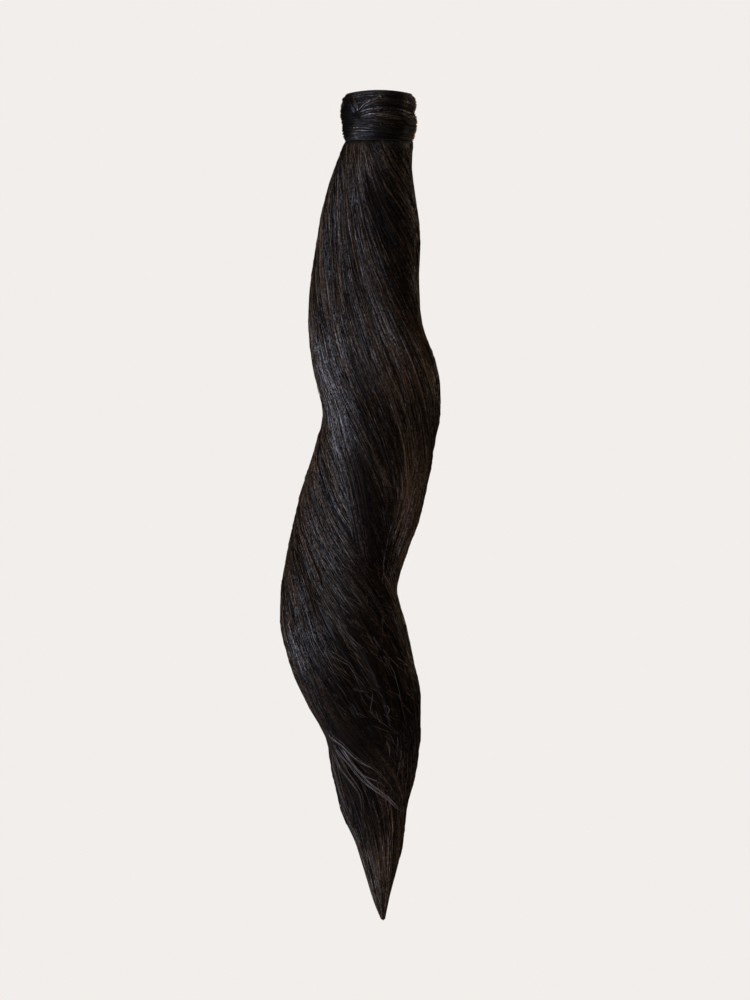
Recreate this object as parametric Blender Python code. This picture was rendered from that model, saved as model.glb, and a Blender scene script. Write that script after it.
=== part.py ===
"""Wrap-round ponytail hairpiece, modelled in metres with +Z up.

A lock of the hair is wound into a collar round the hair's root, and the root is sewn to a plain strap
that closes round the wearer's own tied hair. Below the collar the hair hangs as one loosely twisted
tail, built of locks fused to the root, that ends in a pointed tuft.

The origin is the middle of the collar's top opening. The tail hangs towards -Z and its front faces -Y.
Angles run from +X, the right as seen from the front, through +Y, the back, so a strand whose angle
grows on its way down crosses the front from upper left to lower right.
"""

import math

import bmesh
import bpy
import numpy as np

# The collar, from its hollow outwards.
HOLLOW_RADIUS = 0.0130
STRAP_WALL = 0.0015
ROOT_WALL = 0.0042
WRAP_WALL = 0.0040
CLEARANCE = 0.0003

# Heights in the collar. An inset is measured down from the collar's top, which stands highest at the front
# and the back and dips at the sides.
COLLAR_HEIGHT = 0.0307
COLLAR_SIDE_DIP = 0.0018
STRAP_INSET = 0.0024
STRAP_HEIGHT = 0.0240
STRAP_ROUNDING = 0.0004
ROOT_INSET = 0.0030
SHOULDER = 0.0016

# The hollow that goes on into the hair below the strap.
HOLLOW_DEPTH = 0.0460
HOLLOW_END_RADIUS = 0.0080

# The tail below the collar. Width and depth are those of its fullest section.
TAIL_LENGTH = 0.4770
TAIL_WIDTH = 0.0767
TAIL_DEPTH = 0.0640
TAIL_TURNS = 1.12
LOCK_CREASE = 0.0028
LOCK_START_DROP = 0.076
SEAM_DEPTH = 0.0040
SEAM_REACH = 0.0150
FRINGE_STEP = 0.0036
TIP_BLUNTNESS = 0.0010

# How finely the hair's outer forms are cut into faces.
TAIL_POINTS_AROUND = 60
TAIL_SECTIONS = 64
WRAP_POINTS_AROUND = 56
WRAP_ROWS = 15
STRAP_STEPS = 48

# The tail's outline. "drop" is the share of the tail's length below the collar. "left", "right", "front"
# and "back" are how far the hair reaches from the collar's axis, as shares of half the tail's width or
# depth, and "turn" is the share of the whole twist that the strands have made there.
TAIL_OUTLINE_COLUMNS = ("drop", "left", "right", "front", "back", "turn")
TAIL_OUTLINE = (
    (0.024, 0.655, 0.515, 0.675, 0.690, 0.02),
    (0.076, 0.865, 0.590, 0.690, 0.845, 0.07),
    (0.127, 0.990, 0.655, 0.730, 0.960, 0.12),
    (0.179, 1.085, 0.625, 0.845, 0.925, 0.16),
    (0.230, 1.130, 0.670, 1.020, 0.825, 0.20),
    (0.282, 1.070, 0.895, 1.150, 0.805, 0.23),
    (0.314, 0.975, 0.965, 1.135, 0.865, 0.25),
    (0.346, 0.865, 0.975, 1.060, 0.940, 0.27),
    (0.384, 0.990, 0.895, 0.925, 1.075, 0.31),
    (0.436, 1.185, 0.785, 0.790, 1.210, 0.38),
    (0.487, 1.360, 0.640, 0.750, 1.250, 0.45),
    (0.539, 1.485, 0.400, 0.825, 1.175, 0.52),
    (0.577, 1.565, 0.275, 0.940, 1.060, 0.57),
    (0.616, 1.565, 0.400, 1.115, 0.885, 0.60),
    (0.667, 1.440, 0.545, 1.210, 0.710, 0.63),
    (0.719, 1.165, 0.655, 1.060, 0.710, 0.66),
    (0.764, 0.855, 0.655, 0.850, 0.730, 0.70),
    (0.815, 0.735, 0.570, 0.600, 0.710, 0.78),
    (0.863, 0.590, 0.430, 0.500, 0.540, 0.86),
    (0.899, 0.385, 0.385, 0.385, 0.385, 0.91),
    (0.937, 0.225, 0.275, 0.250, 0.250, 0.95),
    (0.976, 0.085, 0.150, 0.120, 0.120, 0.98),
    (1.000, -0.040, 0.090, 0.015, 0.015, 1.00),
)

# The locks that the tail is fused from, in order round it. "girth" is the share of the way round that a
# lock takes, and "crease" how deep its edges lie, as a share of the deepest crease.
LOCK_COLUMNS = ("girth", "crease")
LOCKS = (
    (0.15, 1.00),
    (0.09, 0.60),
    (0.13, 0.85),
    (0.08, 0.55),
    (0.16, 1.00),
    (0.10, 0.70),
    (0.12, 0.90),
    (0.07, 0.60),
    (0.10, 0.80),
)

# The seam along which the tail laps over itself, a spiral that runs from the collar to the fringe. "turn"
# counts turns from the right side. "behind" and "ahead" are how deep the hair lies on the seam's two
# sides, below on its left and above on its right as seen from the front, as shares of the seam's depth.
SEAM_COLUMNS = ("drop", "turn", "behind", "ahead")
SEAM = (
    (0.000, 0.690, 0.00, 0.00),
    (0.075, 0.750, 0.20, 0.70),
    (0.155, 0.833, 0.20, 1.00),
    (0.223, 1.000, 0.40, 0.90),
    (0.284, 1.250, 0.80, 0.50),
    (0.345, 1.500, 0.95, 0.20),
    (0.461, 1.750, 0.60, 0.60),
    (0.577, 2.000, 0.20, 1.00),
    (0.673, 2.250, 0.50, 0.80),
    (0.763, 2.500, 0.60, 0.30),
    (0.864, 3.000, 0.00, 0.00),
)
SEAM_EDGE_TURN = 0.02

# The front layer of hair ends in a fringe: its edge runs from the left side at the first of these drops,
# over the front, to the right side at the second, and the tuft below lies deeper.
FRINGE_LEFT_DROP = 0.764
FRINGE_RIGHT_DROP = 0.863
FRINGE_RAMP = 0.014

# The way of the wound lock round the collar. "turn" counts turns from the right side, "height" is the share
# of the collar's height, from its top, at which the lock's middle lies, "spread" is half the lock's width
# as a share of that height, and "thickness" is a share of the wrap's wall.
WINDING_COLUMNS = ("turn", "height", "spread", "thickness")
WINDING = (
    (0.00, 0.84, 0.20, 0.70),
    (0.45, 0.80, 0.22, 0.72),
    (0.75, 0.76, 0.25, 0.78),
    (1.00, 0.63, 0.27, 1.00),
    (1.25, 0.56, 0.25, 0.86),
    (1.50, 0.42, 0.28, 0.95),
    (1.62, 0.34, 0.24, 0.88),
    (1.78, 0.24, 0.22, 0.92),
    (2.00, 0.22, 0.22, 0.88),
    (2.30, 0.20, 0.20, 0.84),
    (2.50, 0.20, 0.20, 0.95),
)
INNER_TURN_THICKNESS = 0.55
TOP_EDGE_SHARE = 0.17
TOP_EDGE_THICKNESS = 0.22
BOTTOM_EDGE_SHARE = 0.12
BOTTOM_EDGE_THICKNESS = 0.62

# Radii and heights that follow from the sizes above.
STRAP_OUTER_RADIUS = HOLLOW_RADIUS + STRAP_WALL
ROOT_INNER_RADIUS = STRAP_OUTER_RADIUS + CLEARANCE
ROOT_OUTER_RADIUS = ROOT_INNER_RADIUS + ROOT_WALL
WRAP_INNER_RADIUS = ROOT_OUTER_RADIUS + CLEARANCE
NECK_RADIUS = WRAP_INNER_RADIUS + SHOULDER
STRAP_TOP = -STRAP_INSET
STRAP_BOTTOM = STRAP_TOP - STRAP_HEIGHT
LEDGE = STRAP_BOTTOM - CLEARANCE
ROOT_TOP = -ROOT_INSET
TAIL_TOP = -COLLAR_HEIGHT - CLEARANCE


def clear_scene():
    """Removes whatever the file holds, so that the model is alone in it."""
    for obj in list(bpy.data.objects):
        bpy.data.objects.remove(obj, do_unlink=True)


def column(table, columns, name):
    """One named column of a table, as an array."""
    return np.array([row[columns.index(name)] for row in table], float)


def eased(x, known_x, known_y):
    """A smooth curve through known points that never overshoots them (a monotone cubic), read at x."""
    step = np.diff(known_x)
    slope = np.diff(known_y) / step
    tangent = np.zeros(len(known_x))
    tangent[0] = slope[0]
    tangent[-1] = slope[-1]
    same_way = slope[:-1] * slope[1:] > 0
    weight_before = 2 * step[1:] + step[:-1]
    weight_after = step[1:] + 2 * step[:-1]
    before = np.where(same_way, slope[:-1], 1.0)
    after = np.where(same_way, slope[1:], 1.0)
    mean = (weight_before + weight_after) / (weight_before / before + weight_after / after)
    tangent[1:-1] = np.where(same_way, mean, 0.0)
    i = np.clip(np.searchsorted(known_x, x) - 1, 0, len(step) - 1)
    t = (x - known_x[i]) / step[i]
    return (
        known_y[i] * (1 + 2 * t) * (1 - t) ** 2
        + known_y[i + 1] * t * t * (3 - 2 * t)
        + step[i] * t * (1 - t) * (tangent[i] * (1 - t) - tangent[i + 1] * t)
    )


def smooth(t):
    """Eases from 0 to 1 as t goes from 0 to 1."""
    t = np.clip(t, 0.0, 1.0)
    return t * t * (3 - 2 * t)


def reach(name, drop):
    """How far the tail reaches to one side of the collar's axis, from the round neck down to the tip."""
    full = TAIL_WIDTH if name in ("left", "right") else TAIL_DEPTH
    known_drop = np.concatenate([[0.0], column(TAIL_OUTLINE, TAIL_OUTLINE_COLUMNS, "drop")])
    shares = column(TAIL_OUTLINE, TAIL_OUTLINE_COLUMNS, name)
    return eased(drop, known_drop, np.concatenate([[NECK_RADIUS], shares * full / 2]))


def strand_turn(drop):
    """The angle that the strands have turned through at a drop."""
    known_drop = np.concatenate([[0.0], column(TAIL_OUTLINE, TAIL_OUTLINE_COLUMNS, "drop")])
    known_turn = np.concatenate([[0.0], column(TAIL_OUTLINE, TAIL_OUTLINE_COLUMNS, "turn")])
    return 2 * math.pi * TAIL_TURNS * eased(drop, known_drop, known_turn)


def lock_relief(share):
    """How deep the fused locks' surface lies at a share of the way round: 0 on each lock's back and up to
    1 in the deepest crease between two. Each lock is a rounded strip, and the highest one shows."""
    girth = column(LOCKS, LOCK_COLUMNS, "girth")
    crease = column(LOCKS, LOCK_COLUMNS, "crease")
    girth = girth / girth.sum()
    middle = np.cumsum(girth) - girth / 2
    away = np.abs((share[:, None] - middle + 0.5) % 1.0 - 0.5)
    strips = crease * (2 * away / girth) ** 2
    return strips.min(axis=1)


def seam_relief(angle, drop, radius):
    """How deep the hair lies beside the seam: the share for that side at the seam itself, fading out over the
    seam's reach. It is 0 at the left and right sides, where the outline's table already holds it."""
    known_drop = column(SEAM, SEAM_COLUMNS, "drop")
    at = np.array([min(drop, known_drop[-1])])
    turn, behind, ahead = (
        eased(at, known_drop, column(SEAM, SEAM_COLUMNS, name))[0] for name in ("turn", "behind", "ahead")
    )
    away = (angle / (2 * math.pi) - turn + 0.5) % 1.0 - 0.5
    side = smooth(0.5 + away / (2 * SEAM_EDGE_TURN))
    fading = np.exp(-((away * 2 * math.pi * radius / SEAM_REACH) ** 2))
    return (behind + (ahead - behind) * side) * fading * np.sin(angle) ** 2


def fringe_relief(angle, drop):
    """How far below the front layer the tuft lies: 0 above the layer's slanting edge and on the back, and
    1 below it in the middle of the front."""
    across = (angle % (2 * math.pi)) / math.pi - 1.0
    edge = FRINGE_LEFT_DROP + (FRINGE_RIGHT_DROP - FRINGE_LEFT_DROP) * np.clip(across, 0.0, 1.0)
    return np.clip(-np.sin(angle), 0.0, 1.0) * smooth((drop - edge) / FRINGE_RAMP)


def tail_section(drop):
    """The points of one section of the tail. Point n follows the same strands from section to section."""
    left, right, front, back = (reach(name, drop) for name in ("left", "right", "front", "back"))
    half_width = max((left + right) / 2, TIP_BLUNTNESS)
    half_depth = max((front + back) / 2, TIP_BLUNTNESS)
    share = np.arange(TAIL_POINTS_AROUND) / TAIL_POINTS_AROUND
    angle = 2 * math.pi * share + strand_turn(drop)
    fullness = min(half_width / (TAIL_WIDTH / 2), half_depth / (TAIL_DEPTH / 2), 1.0)
    begun = smooth(drop / LOCK_START_DROP)
    inward = fullness * (
        LOCK_CREASE * begun * lock_relief(share)
        + SEAM_DEPTH * seam_relief(angle, drop, half_width)
        + FRINGE_STEP * fringe_relief(angle, drop)
    )
    across = (half_width - inward) * np.cos(angle) + (right - left) / 2
    along = (half_depth - inward) * np.sin(angle) + (back - front) / 2
    height = np.full(len(share), TAIL_TOP - drop * TAIL_LENGTH)
    return np.stack([across, along, height], axis=1)


def circle(radius, height, count):
    """Evenly spaced points of a level circle round the collar's axis."""
    angle = 2 * math.pi * np.arange(count) / count
    return np.stack([radius * np.cos(angle), radius * np.sin(angle), np.full(count, height)], axis=1)


def skin(mesh_name, rings, first_point=None, last_point=None, closed=False):
    """A mesh whose faces join each ring of points to the next. An end is closed to a point, or the last
    ring is joined to the first."""
    bm = bmesh.new()
    loops = [[bm.verts.new(point) for point in ring] for ring in rings]
    pairs = list(zip(loops, loops[1:]))
    if closed:
        pairs.append((loops[-1], loops[0]))
    for upper, lower in pairs:
        for i in range(len(upper)):
            j = (i + 1) % len(upper)
            bm.faces.new((upper[i], lower[i], lower[j], upper[j]))
    for point, loop in ((first_point, loops[0]), (last_point, loops[-1])):
        if point is not None:
            end = bm.verts.new(point)
            for i in range(len(loop)):
                bm.faces.new((loop[i], loop[(i + 1) % len(loop)], end))
    bmesh.ops.recalc_face_normals(bm, faces=bm.faces)
    mesh = bpy.data.meshes.new(mesh_name)
    bm.to_mesh(mesh)
    bm.free()
    return mesh


def material(name, colour, roughness):
    """A Principled material with no metal in it."""
    made = bpy.data.materials.new(name)
    made.use_nodes = True
    shader = made.node_tree.nodes["Principled BSDF"]
    shader.inputs["Base Color"].default_value = (*colour, 1.0)
    shader.inputs["Roughness"].default_value = roughness
    shader.inputs["Metallic"].default_value = 0.0
    return made


def add_object(name, mesh, finish):
    """Puts a mesh into the scene under its node's name, smooth but for its sharp edges."""
    obj = bpy.data.objects.new(name, mesh)
    bpy.context.scene.collection.objects.link(obj)
    mesh.materials.append(finish)
    mesh.shade_smooth()
    mesh.set_sharp_from_angle(angle=math.radians(50))
    return obj


def tail_hair():
    """The hair: a ring of roots inside the wrap, and the tail of fused locks that hangs from it. The
    hollow runs down through the roots, past the ledge that the strap stands on, into the neck."""
    sections = [tail_section(drop) for drop in np.linspace(0.0, 1.0, TAIL_SECTIONS)]
    count = TAIL_POINTS_AROUND
    tip = sections[-1].mean(axis=0) - np.array([0.0, 0.0, TIP_BLUNTNESS])
    hollow = [
        circle(HOLLOW_END_RADIUS, -HOLLOW_DEPTH, count),
        circle(HOLLOW_RADIUS, LEDGE, count),
        circle(ROOT_INNER_RADIUS, LEDGE, count),
        circle(ROOT_INNER_RADIUS, ROOT_TOP, count),
    ]
    root = [circle(ROOT_OUTER_RADIUS, ROOT_TOP, count), circle(ROOT_OUTER_RADIUS, TAIL_TOP, count)]
    mesh = skin("tail_hair", hollow + root + sections, (0.0, 0.0, -HOLLOW_DEPTH), tip)
    return add_object("tail_hair", mesh, material("dark_hair", (0.022, 0.016, 0.013), 0.42))


def wrap_thickness(turn, height):
    """The wound lock's thickness, as a share of the wrap's wall, at a share of the way round and the shares
    of the collar's height in the array height. Where passes of the lock overlap, the higher one shows."""
    known_turn = column(WINDING, WINDING_COLUMNS, "turn")
    thickest = np.full(len(height), INNER_TURN_THICKNESS)
    passes = [turn + n for n in range(math.ceil(known_turn[-1])) if turn + n <= known_turn[-1]]
    for at in passes:
        middle, spread, thickness = (
            eased(np.array([at]), known_turn, column(WINDING, WINDING_COLUMNS, name))[0]
            for name in ("height", "spread", "thickness")
        )
        rounding = np.clip(1 - ((height - middle) / spread) ** 2, 0.0, 1.0) ** 0.4
        thickest = np.maximum(thickest, thickness * rounding)
    top_edge = TOP_EDGE_THICKNESS + (1 - TOP_EDGE_THICKNESS) * rounded(height / TOP_EDGE_SHARE)
    bottom_edge = BOTTOM_EDGE_THICKNESS + (1 - BOTTOM_EDGE_THICKNESS) * rounded(
        (1 - height) / BOTTOM_EDGE_SHARE
    )
    return thickest * top_edge * bottom_edge


def rounded(t):
    """A quarter of a circle that rises from 0 to 1 as t goes from 0 to 1."""
    return np.sqrt(1 - (1 - np.clip(t, 0.0, 1.0)) ** 2)


def collar_top(angle):
    """The height of the collar's top edge at an angle."""
    return -COLLAR_SIDE_DIP * np.cos(angle) ** 2


def wrap_strand():
    """The lock wound round the roots: a ring that stands on the tail's shoulder, with a straight inner wall
    and the passes of the lock, fused, outside."""
    half_circle = np.linspace(0.0, math.pi, WRAP_ROWS)
    height = (1 - np.cos(half_circle)) / 2
    outer_rows = [[] for _ in height]
    for n in range(WRAP_POINTS_AROUND):
        turn = n / WRAP_POINTS_AROUND
        radius = WRAP_INNER_RADIUS + WRAP_WALL * wrap_thickness(turn, height)
        angle = 2 * math.pi * turn
        top = collar_top(angle)
        for row, r, h in zip(outer_rows, radius, height):
            row.append((r * math.cos(angle), r * math.sin(angle), top * (1 - h) - COLLAR_HEIGHT * h))
    inner_bottom = circle(WRAP_INNER_RADIUS, -COLLAR_HEIGHT, WRAP_POINTS_AROUND)
    inner_top = circle(WRAP_INNER_RADIUS, 0.0, WRAP_POINTS_AROUND)
    inner_top[:, 2] = collar_top(np.arctan2(inner_top[:, 1], inner_top[:, 0]))
    inner_rows = [inner_bottom, inner_top]
    mesh = skin("wrap_strand", outer_rows + inner_rows, closed=True)
    return add_object("wrap_strand", mesh, material("wound_hair", (0.020, 0.015, 0.013), 0.38))


def base_strap():
    """The plain strap inside the collar, closed into a ring, that goes round the wearer's own tied hair."""
    inner, outer = HOLLOW_RADIUS, STRAP_OUTER_RADIUS
    top, bottom, cut = STRAP_TOP, STRAP_BOTTOM, STRAP_ROUNDING
    profile = (
        (inner + cut, top),
        (outer - cut, top),
        (outer, top - cut),
        (outer, bottom + cut),
        (outer - cut, bottom),
        (inner + cut, bottom),
        (inner, bottom + cut),
        (inner, top - cut),
    )
    bm = bmesh.new()
    points = [bm.verts.new((radius, 0.0, height)) for radius, height in profile]
    for i, point in enumerate(points):
        bm.edges.new((point, points[(i + 1) % len(points)]))
    mesh = bpy.data.meshes.new("base_strap")
    bm.to_mesh(mesh)
    bm.free()
    obj = add_object("base_strap", mesh, material("strap_fabric", (0.018, 0.016, 0.015), 0.85))
    turned = obj.modifiers.new("Turned", "SCREW")
    turned.steps = STRAP_STEPS
    turned.render_steps = STRAP_STEPS
    turned.use_merge_vertices = True
    turned.merge_threshold = 0.00001
    return obj


clear_scene()
tail_hair()
wrap_strand()
base_strap()
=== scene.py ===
"""Looks for the wrap-round ponytail hairpiece: hair bodies, strands, collar, strap and a plain studio.

Every length is in metres in the frame's own axes: +Z up the collar's axis, -Y the front. The tail and the
collar are surfaces of two parameters. On the tail they are the angle round it and the drop, the share of
its length below the collar. On the collar they are the angle and the share of its height below its top.
Strands are thin three-sided tubes laid over those surfaces.
"""

import math

import bpy
import numpy as np
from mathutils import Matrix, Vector


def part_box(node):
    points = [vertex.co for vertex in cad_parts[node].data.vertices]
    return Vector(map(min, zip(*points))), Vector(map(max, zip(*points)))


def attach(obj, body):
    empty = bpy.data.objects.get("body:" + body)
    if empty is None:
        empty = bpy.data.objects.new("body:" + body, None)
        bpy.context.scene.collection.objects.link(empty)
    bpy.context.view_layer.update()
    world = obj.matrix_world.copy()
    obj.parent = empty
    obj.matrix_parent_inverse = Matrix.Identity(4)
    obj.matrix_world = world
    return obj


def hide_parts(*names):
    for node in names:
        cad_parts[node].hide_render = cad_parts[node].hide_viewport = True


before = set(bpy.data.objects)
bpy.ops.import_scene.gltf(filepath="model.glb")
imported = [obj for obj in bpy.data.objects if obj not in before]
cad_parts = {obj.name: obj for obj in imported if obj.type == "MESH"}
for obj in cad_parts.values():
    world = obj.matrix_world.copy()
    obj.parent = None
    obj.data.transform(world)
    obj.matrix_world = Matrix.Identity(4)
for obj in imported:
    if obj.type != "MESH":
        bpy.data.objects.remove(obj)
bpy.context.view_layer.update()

bl_info = {
    "name": "Wrap-Round Ponytail",
    "version": (1, 0, 0),
    "blender": (4, 5, 0),
    "location": "3D View > Sidebar > Ponytail",
    "description": "Builds the hair, collar, strap and studio of a wrap-round ponytail hairpiece",
    "category": "Object",
}

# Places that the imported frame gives.
STRAP_LOW, STRAP_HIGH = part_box("base_strap")
TAIL_LOW, TAIL_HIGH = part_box("tail_hair")
WRAP_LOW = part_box("wrap_strand")[0]

# Gaps and walls of the collar, and the hollow in the neck, as they are in the frame.
CLEARANCE = 0.0003
STRAP_WALL = 0.0015
ROOT_WALL = 0.0042
WRAP_WALL = 0.0040
COLLAR_SIDE_DIP = 0.0018
SHOULDER = 0.0016
HOLLOW_DEPTH = 0.0460
HOLLOW_END_RADIUS = 0.0080
TIP_BLUNTNESS = 0.0010

ROOT_INNER_RADIUS = STRAP_HIGH.x + CLEARANCE
HOLLOW_RADIUS = STRAP_HIGH.x - STRAP_WALL
ROOT_OUTER_RADIUS = ROOT_INNER_RADIUS + ROOT_WALL
WRAP_INNER_RADIUS = ROOT_OUTER_RADIUS + CLEARANCE
NECK_RADIUS = WRAP_INNER_RADIUS + SHOULDER
COLLAR_HEIGHT = -WRAP_LOW.z
LEDGE = STRAP_LOW.z - CLEARANCE
ROOT_TOP = TAIL_HIGH.z
TAIL_TOP = WRAP_LOW.z - CLEARANCE
TAIL_LENGTH = TAIL_TOP - TAIL_LOW.z - TIP_BLUNTNESS

# The tail's fullest width and depth, and how far its strands turn from the collar to the tip.
TAIL_WIDTH = 0.0767
TAIL_DEPTH = 0.0640
TAIL_TURNS = 1.12

# The tail's outline, as shares of half its width or depth from the collar's axis, and its twist.
OUTLINE_COLUMNS = ("drop", "left", "right", "front", "back", "turn")
OUTLINE = (
    (0.024, 0.655, 0.515, 0.675, 0.690, 0.02),
    (0.076, 0.865, 0.590, 0.690, 0.845, 0.07),
    (0.127, 0.990, 0.655, 0.730, 0.960, 0.12),
    (0.179, 1.085, 0.625, 0.845, 0.925, 0.16),
    (0.230, 1.130, 0.670, 1.020, 0.825, 0.20),
    (0.282, 1.070, 0.895, 1.150, 0.805, 0.23),
    (0.314, 0.975, 0.965, 1.135, 0.865, 0.25),
    (0.346, 0.865, 0.975, 1.060, 0.940, 0.27),
    (0.384, 0.990, 0.895, 0.925, 1.075, 0.31),
    (0.436, 1.185, 0.785, 0.790, 1.210, 0.38),
    (0.487, 1.360, 0.640, 0.750, 1.250, 0.45),
    (0.539, 1.485, 0.400, 0.825, 1.175, 0.52),
    (0.577, 1.565, 0.275, 0.940, 1.060, 0.57),
    (0.616, 1.565, 0.400, 1.115, 0.885, 0.60),
    (0.667, 1.440, 0.545, 1.210, 0.710, 0.63),
    (0.719, 1.165, 0.655, 1.060, 0.710, 0.66),
    (0.764, 0.855, 0.655, 0.850, 0.730, 0.70),
    (0.815, 0.735, 0.570, 0.600, 0.710, 0.78),
    (0.863, 0.590, 0.430, 0.500, 0.540, 0.86),
    (0.899, 0.385, 0.385, 0.385, 0.385, 0.91),
    (0.937, 0.225, 0.275, 0.250, 0.250, 0.95),
    (0.976, 0.085, 0.150, 0.120, 0.120, 0.98),
    (1.000, -0.040, 0.090, 0.015, 0.015, 1.00),
)

# The spiral seam along which the tail laps over itself. "turn" counts turns from the right side, and
# "behind" and "ahead" are how deep the hair lies on its two sides, as shares of the seam's depth.
SEAM_DEPTH = 0.0040
SEAM_REACH = 0.0150
SEAM_EDGE_TURN = 0.010
SEAM_COLUMNS = ("drop", "turn", "behind", "ahead")
SEAM = (
    (0.000, 0.690, 0.00, 0.00),
    (0.075, 0.750, 0.20, 0.70),
    (0.155, 0.833, 0.20, 1.00),
    (0.223, 1.000, 0.40, 0.90),
    (0.284, 1.250, 0.80, 0.50),
    (0.345, 1.500, 0.95, 0.20),
    (0.461, 1.750, 0.60, 0.60),
    (0.577, 2.000, 0.20, 1.00),
    (0.673, 2.250, 0.50, 0.80),
    (0.763, 2.500, 0.60, 0.30),
    (0.864, 3.000, 0.00, 0.00),
)

# The front layer's slanting lower edge, and how deep the tuft lies below it.
FRINGE_LEFT_DROP = 0.764
FRINGE_RIGHT_DROP = 0.863
FRINGE_RAMP = 0.010
FRINGE_STEP = 0.0036

# A shaded dip in the lower front, where the layers part.
DIP_DROP = 0.700
DIP_ANGLE = math.radians(278)
DIP_DEPTH = 0.0042
DIP_HALF_DROP = 0.050
DIP_HALF_ANGLE = math.radians(30)

# The wound lock's way round the collar, as it is in the frame: turns from the right side, the height of its
# middle and half its width as shares of the collar's height, and its thickness as a share of the wall.
WINDING_COLUMNS = ("turn", "height", "spread", "thickness")
WINDING = (
    (0.00, 0.84, 0.20, 0.70),
    (0.45, 0.80, 0.22, 0.72),
    (0.75, 0.76, 0.25, 0.78),
    (1.00, 0.63, 0.27, 1.00),
    (1.25, 0.56, 0.25, 0.86),
    (1.50, 0.42, 0.28, 0.95),
    (1.62, 0.34, 0.24, 0.88),
    (1.78, 0.24, 0.22, 0.92),
    (2.00, 0.22, 0.22, 0.88),
    (2.30, 0.20, 0.20, 0.84),
    (2.50, 0.20, 0.20, 0.95),
)
INNER_TURN_THICKNESS = 0.55
PINCH_ANGLE = math.radians(233)
PINCH_HEIGHT = 0.50
PINCH_DEPTH = 0.0013
PINCH_HALF_ANGLE = math.radians(9)
PINCH_HALF_HEIGHT = 0.06
TOP_EDGE_SHARE = 0.17
TOP_EDGE_THICKNESS = 0.22
BOTTOM_EDGE_SHARE = 0.12
BOTTOM_EDGE_THICKNESS = 0.62

# The way that the front hair is combed: the strands' slant in degrees from straight down, towards the
# right, at four places across the front, where -1 is the left side and 1 the right side.
COMB_PLACES = (-0.6, -0.2, 0.2, 0.6)
COMB_COLUMNS = ("drop", "far_left", "left", "right", "far_right")
COMB = (
    (0.000, -2, 14, 28, 32),
    (0.075, 2, 11, 25, 33),
    (0.140, 2, 12, 21, 28),
    (0.204, 8, 15, 20, 25),
    (0.268, 14, 18, 22, 24),
    (0.320, 24, 25, 23, 15),
    (0.371, 28, 25, 21, 8),
    (0.435, 16, 30, 22, 4),
    (0.500, 22, 35, 33, 10),
    (0.564, 17, 31, 35, 34),
    (0.615, 15, 28, 34, 28),
    (0.680, 26, 36, 33, 17),
    (0.744, 32, 34, 22, 6),
    (0.795, 25, 32, 24, 0),
    (0.847, 20, 24, 18, 8),
    (0.911, 16, 10, 4, -4),
    (1.000, 10, 5, 0, -6),
)

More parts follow.
